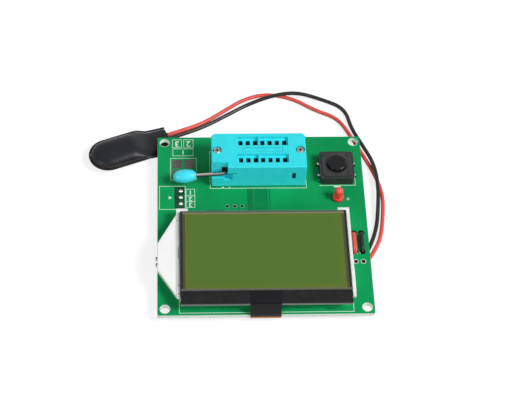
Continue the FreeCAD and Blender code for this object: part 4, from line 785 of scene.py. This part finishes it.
ribbon_film, tree, shader, place = node_material("ribbon_film")
lines = tree.nodes.new("ShaderNodeTexWave")
lines.bands_direction = "X"
lines.inputs["Scale"].default_value = RIBBON_LINES_PER_MM / MM
lines.inputs["Distortion"].default_value = 0.0
tree.links.new(place.outputs["Object"], lines.inputs["Vector"])
black_film = ramp(tree, lines.outputs["Fac"], (0.0075, 0.0065, 0.0075), (0.0095, 0.008, 0.009))
fold = number_node(tree, "LESS_THAN", axes_of(tree, place.outputs["Object"])["Z"], FOLD_TOP * MM)
tree.links.new(mixed(tree, fold, black_film, FOLD_COPPER), shader.inputs["Base Color"])
shader.inputs["Specular IOR Level"].default_value = 0.15
tree.links.new(ramp(tree, noise(tree, place, 0.6, 2.0), 0.32, 0.46), shader.inputs["Roughness"])
bump(tree, shader, lines.outputs["Fac"], 0.05, RELIEF_MM * MM)
dress(ribbon_film, "lcd_ribbon")

# Backlight tray: one moulding in milky white thermoplastic, which carries the glass and lets a little
# light through. Its two front corners are undercut where the ledge passes over them.
CORNER_CUT_LEFT = ((-29.7, -34.2, 4.5), (-28.3, -30.9, 8.6))
CORNER_CUT_RIGHT = ((28.3, -34.2, 4.5), (30.1, -30.9, 8.6))
MILK_DEPTH = 1.5
white_moulding = surface("white_moulding", (0.93, 0.94, 0.92), (0.96, 0.97, 0.95),
                         rough=0.4, grain=0.2, relief=0.1)
milky = white_moulding.node_tree.nodes["Principled BSDF"].inputs
milky["Subsurface Weight"].default_value = 0.7
milky["Subsurface Radius"].default_value = (1, 1, 1)
milky["Subsurface Scale"].default_value = MILK_DEPTH * MM
carved("tray", "backlight_frame", [CORNER_CUT_LEFT, CORNER_CUT_RIGHT], white_moulding)

# Wing of the tray: a thin milky plate nearly level with the rim, which roofs the way from the lamp to the
# guide and narrows towards the board's left edge. It is moulded in one with the tray's left wall.
WING_TOP, WING_T = 9.35, 0.9
WING_PLAN = ((-35.9, -22.5), (-29.3, -33.9), (-35.9, -11.85), (-29.3, 0.7))
WING_ROUND = 0.15
wing = blank(bpy.ops.mesh.primitive_plane_add, size=2)
for vertex, (x, y) in zip(wing.data.vertices, WING_PLAN):
    vertex.co = Vector((x, y, WING_TOP - WING_T)) * MM
bpy.ops.object.mode_set(mode="EDIT")
bpy.ops.mesh.select_all(action="SELECT")
bpy.ops.mesh.extrude_region_move(TRANSFORM_OT_translate={"value": (0, 0, WING_T * MM)})
bpy.ops.mesh.select_all(action="SELECT")
bpy.ops.mesh.normals_make_consistent(inside=False)
bpy.ops.mesh.bevel(offset=WING_ROUND * MM, segments=2)
bpy.ops.object.mode_set(mode="OBJECT")
settled(wing, "tray_wing", white_moulding)

# Mould marks on the tray's left wall: three rings left by the ejector pins, and a half-round finger
# notch. They are thin grey patches on the rim, painted shade for these dimples and the notch.
TRAY_RIM_Z = 9.6
MARK_T = 0.03
EJECTOR_BORE = 0.08
EJECTORS = ((-29.2, -2.7, 0.3), (-28.95, -29.2, 0.3), (-28.95, -32.5, 0.34))
NOTCH_X, NOTCH_Y, NOTCH_CUT_X = -28.45, -16.2, -28.43
NOTCH_HALF_W, NOTCH_HALF_L = 0.62, 3.3
# Painted shade: grey patches for the ejector dimples and the finger notch.
marks_painted_shade = surface("marks_painted_shade", (0.36, 0.37, 0.36), (0.5, 0.51, 0.5), rough=0.5, grain=0.6, relief=0.2)
mould_marks = [rim_ring(x, y, TRAY_RIM_Z, EJECTOR_BORE, radius, MARK_T) for x, y, radius in EJECTORS]
notch = blank(bpy.ops.mesh.primitive_circle_add, vertices=48, radius=1, fill_type="NGON",
              location=(NOTCH_X * MM, NOTCH_Y * MM, TRAY_RIM_Z * MM))
notch.scale = (NOTCH_HALF_W * MM, NOTCH_HALF_L * MM, 1)
bpy.ops.object.transform_apply(location=True, rotation=True, scale=True)
bpy.ops.object.mode_set(mode="EDIT")
bpy.ops.mesh.select_all(action="SELECT")
bpy.ops.mesh.bisect(plane_co=(NOTCH_CUT_X * MM, 0, 0), plane_no=(1, 0, 0), clear_outer=True)
bpy.ops.mesh.select_all(action="SELECT")
bpy.ops.mesh.extrude_region_move(TRANSFORM_OT_translate={"value": (0, 0, MARK_T * MM)})
bpy.ops.object.mode_set(mode="OBJECT")
mould_marks.append(notch)
settled(joined(mould_marks), "tray_marks", marks_painted_shade)

# Backlight: a clear acrylic guide in the tray over a white reflector, lit from its side by a small white
# lamp. The lamp's two tinned leads bend down past the board's edge and are trimmed there.
LEAD_TRIM = ((-37.5, -25.0, -0.5), (-35.5, -5.0, 3.7))
clear_acrylic = surface("clear_acrylic", (0.6, 0.66, 0.5), (0.72, 0.76, 0.62),
                        rough=0.15, grain=0.2, relief=0.05)
dress(clear_acrylic, "light_guide")
dress(white_moulding, "backlight_reflector", "backlight_led")
carved("lamp_leads", "backlight_leads", [LEAD_TRIM], dull_tin)

# Push switch: black moulded housing with tinned pins, a dark stamped plate that four upset studs hold on
# it, and a round glossy cap over a snap disc of spring steel.
black_moulding = surface("black_moulding", (0.022, 0.026, 0.024), (0.036, 0.042, 0.038),
                         rough=0.45, grain=0.5, relief=0.3, gloss=0.2)
stamped_plate = surface("stamped_plate", (0.03, 0.03, 0.031), (0.055, 0.055, 0.057),
                        rough=0.45, grain=0.7, relief=0.25, metal=0.3, stretch=(1, 0.2, 1))
cap_moulding = surface("cap_moulding", (0.005, 0.005, 0.006), (0.009, 0.009, 0.01),
                       rough=0.17, grain=0.5, relief=0.1, gloss=0.18)
spring_steel = surface("spring_steel", (0.4, 0.4, 0.4), (0.55, 0.55, 0.54),
                       rough=0.3, grain=0.5, relief=0.1, metal=1.0)
dress(black_moulding, "switch_housing")
dress(stamped_plate, "switch_plate")
dress(cap_moulding, "switch_button")
dress(spring_steel, "switch_dome")
dress(phosphor_tin, "switch_pins")

# Indicator lamp: red diffused resin, cast over its two legs in a polished mould, so that its skin is
# smooth and a little clear.
RESIN_IOR = 1.5
red_resin, tree, shader, place = node_material("red_resin")
tree.links.new(ramp(tree, noise(tree, place, 0.5, 2.0), (0.93, 0.05, 0.038), (1.0, 0.088, 0.062)),
               shader.inputs["Base Color"])
tree.links.new(ramp(tree, noise(tree, place, 1.5, 2.0), 0.06, 0.13), shader.inputs["Roughness"])
shader.inputs["Transmission Weight"].default_value = 0.15
shader.inputs["IOR"].default_value = RESIN_IOR
dress(red_resin, "indicator_led")
dress(phosphor_tin, "indicator_leads")

# Circuit on the underside: packages in black epoxy, black resistors, capacitors of fired ceramic and a
# crystal in a steel can, all soldered flat on the board by their tinned leads and ends.
black_epoxy = surface("black_epoxy", (0.018, 0.018, 0.019), (0.032, 0.032, 0.034),
                      rough=0.6, grain=1.0, relief=0.3)
fired_ceramic = surface("fired_ceramic", (0.3, 0.2, 0.12), (0.4, 0.28, 0.18),
                        rough=0.5, grain=1.2, relief=0.2)
dress(black_epoxy, "microcontroller", "regulator", "transistors", "resistors")
dress(fired_ceramic, "capacitors")
dress(spring_steel, "crystal")
dress(phosphor_tin, "package_leads", "chip_ends")

# Floor and light: a white table under three large soft lamps and an even white surround. The table and
# the surround look white to the camera and in mirrors, while a plain level of light falls on the object.
FLOOR_GLOW = 0.78
FLOOR_DROP = 0.02
FLOOR_W = 6
SURROUND_LIGHT = 0.23
SURROUND_WHITE = 1.0


def seen_rays(tree):
    """One for camera, glossy and transmission rays, and nothing for the light that falls on the object."""
    rays = tree.nodes.new("ShaderNodeLightPath").outputs
    seen = number_node(tree, "MAXIMUM", rays["Is Camera Ray"], rays["Is Glossy Ray"])
    return number_node(tree, "MAXIMUM", seen, rays["Is Transmission Ray"])


def softbox(name, place, size, power):
    """Square lamp that faces the object."""
    lamp = bpy.data.objects.new(name, bpy.data.lights.new(name, "AREA"))
    bpy.context.collection.objects.link(lamp)
    lamp.data.shape = "SQUARE"
    lamp.data.size = size
    lamp.data.energy = power
    lamp.matrix_world = Vector(place).to_track_quat("Z", "Y").to_matrix().to_4x4()
    lamp.location = place


floor = blank(bpy.ops.mesh.primitive_plane_add, size=FLOOR_W, location=(0, 0, -FLOOR_DROP * MM))
floor.name = "floor"
table_white, tree, shader, place = node_material("table_white")
tree.links.new(ramp(tree, noise(tree, place, 0.002, 2.0), 0.25, 0.27), shader.inputs["Base Color"])
shader.inputs["Roughness"].default_value = 0.9
shader.inputs["Emission Color"].default_value = (1, 1, 1, 1)
glow = number_node(tree, "MULTIPLY", seen_rays(tree), FLOOR_GLOW)
tree.links.new(glow, shader.inputs["Emission Strength"])
floor.data.materials.append(table_white)

world = bpy.data.worlds.new("surround")
bpy.context.scene.world = world
world.use_nodes = True
tree = world.node_tree
surround = tree.nodes["Background"]
surround.inputs["Color"].default_value = (1, 1, 1, 1)
level = tree.nodes.new("ShaderNodeMapRange")
level.inputs["To Min"].default_value = SURROUND_LIGHT
level.inputs["To Max"].default_value = SURROUND_WHITE
tree.links.new(seen_rays(tree), level.inputs["Value"])
tree.links.new(level.outputs["Result"], surround.inputs["Strength"])

softbox("softbox_right", place=(0.867, -0.404, 1.063), size=0.5, power=19.0)
softbox("softbox_front", place=(-0.1, -1.17, 0.55), size=0.4, power=1.4)
softbox("softbox_left", place=(-0.9, -0.8, 0.6), size=0.5, power=4.4)
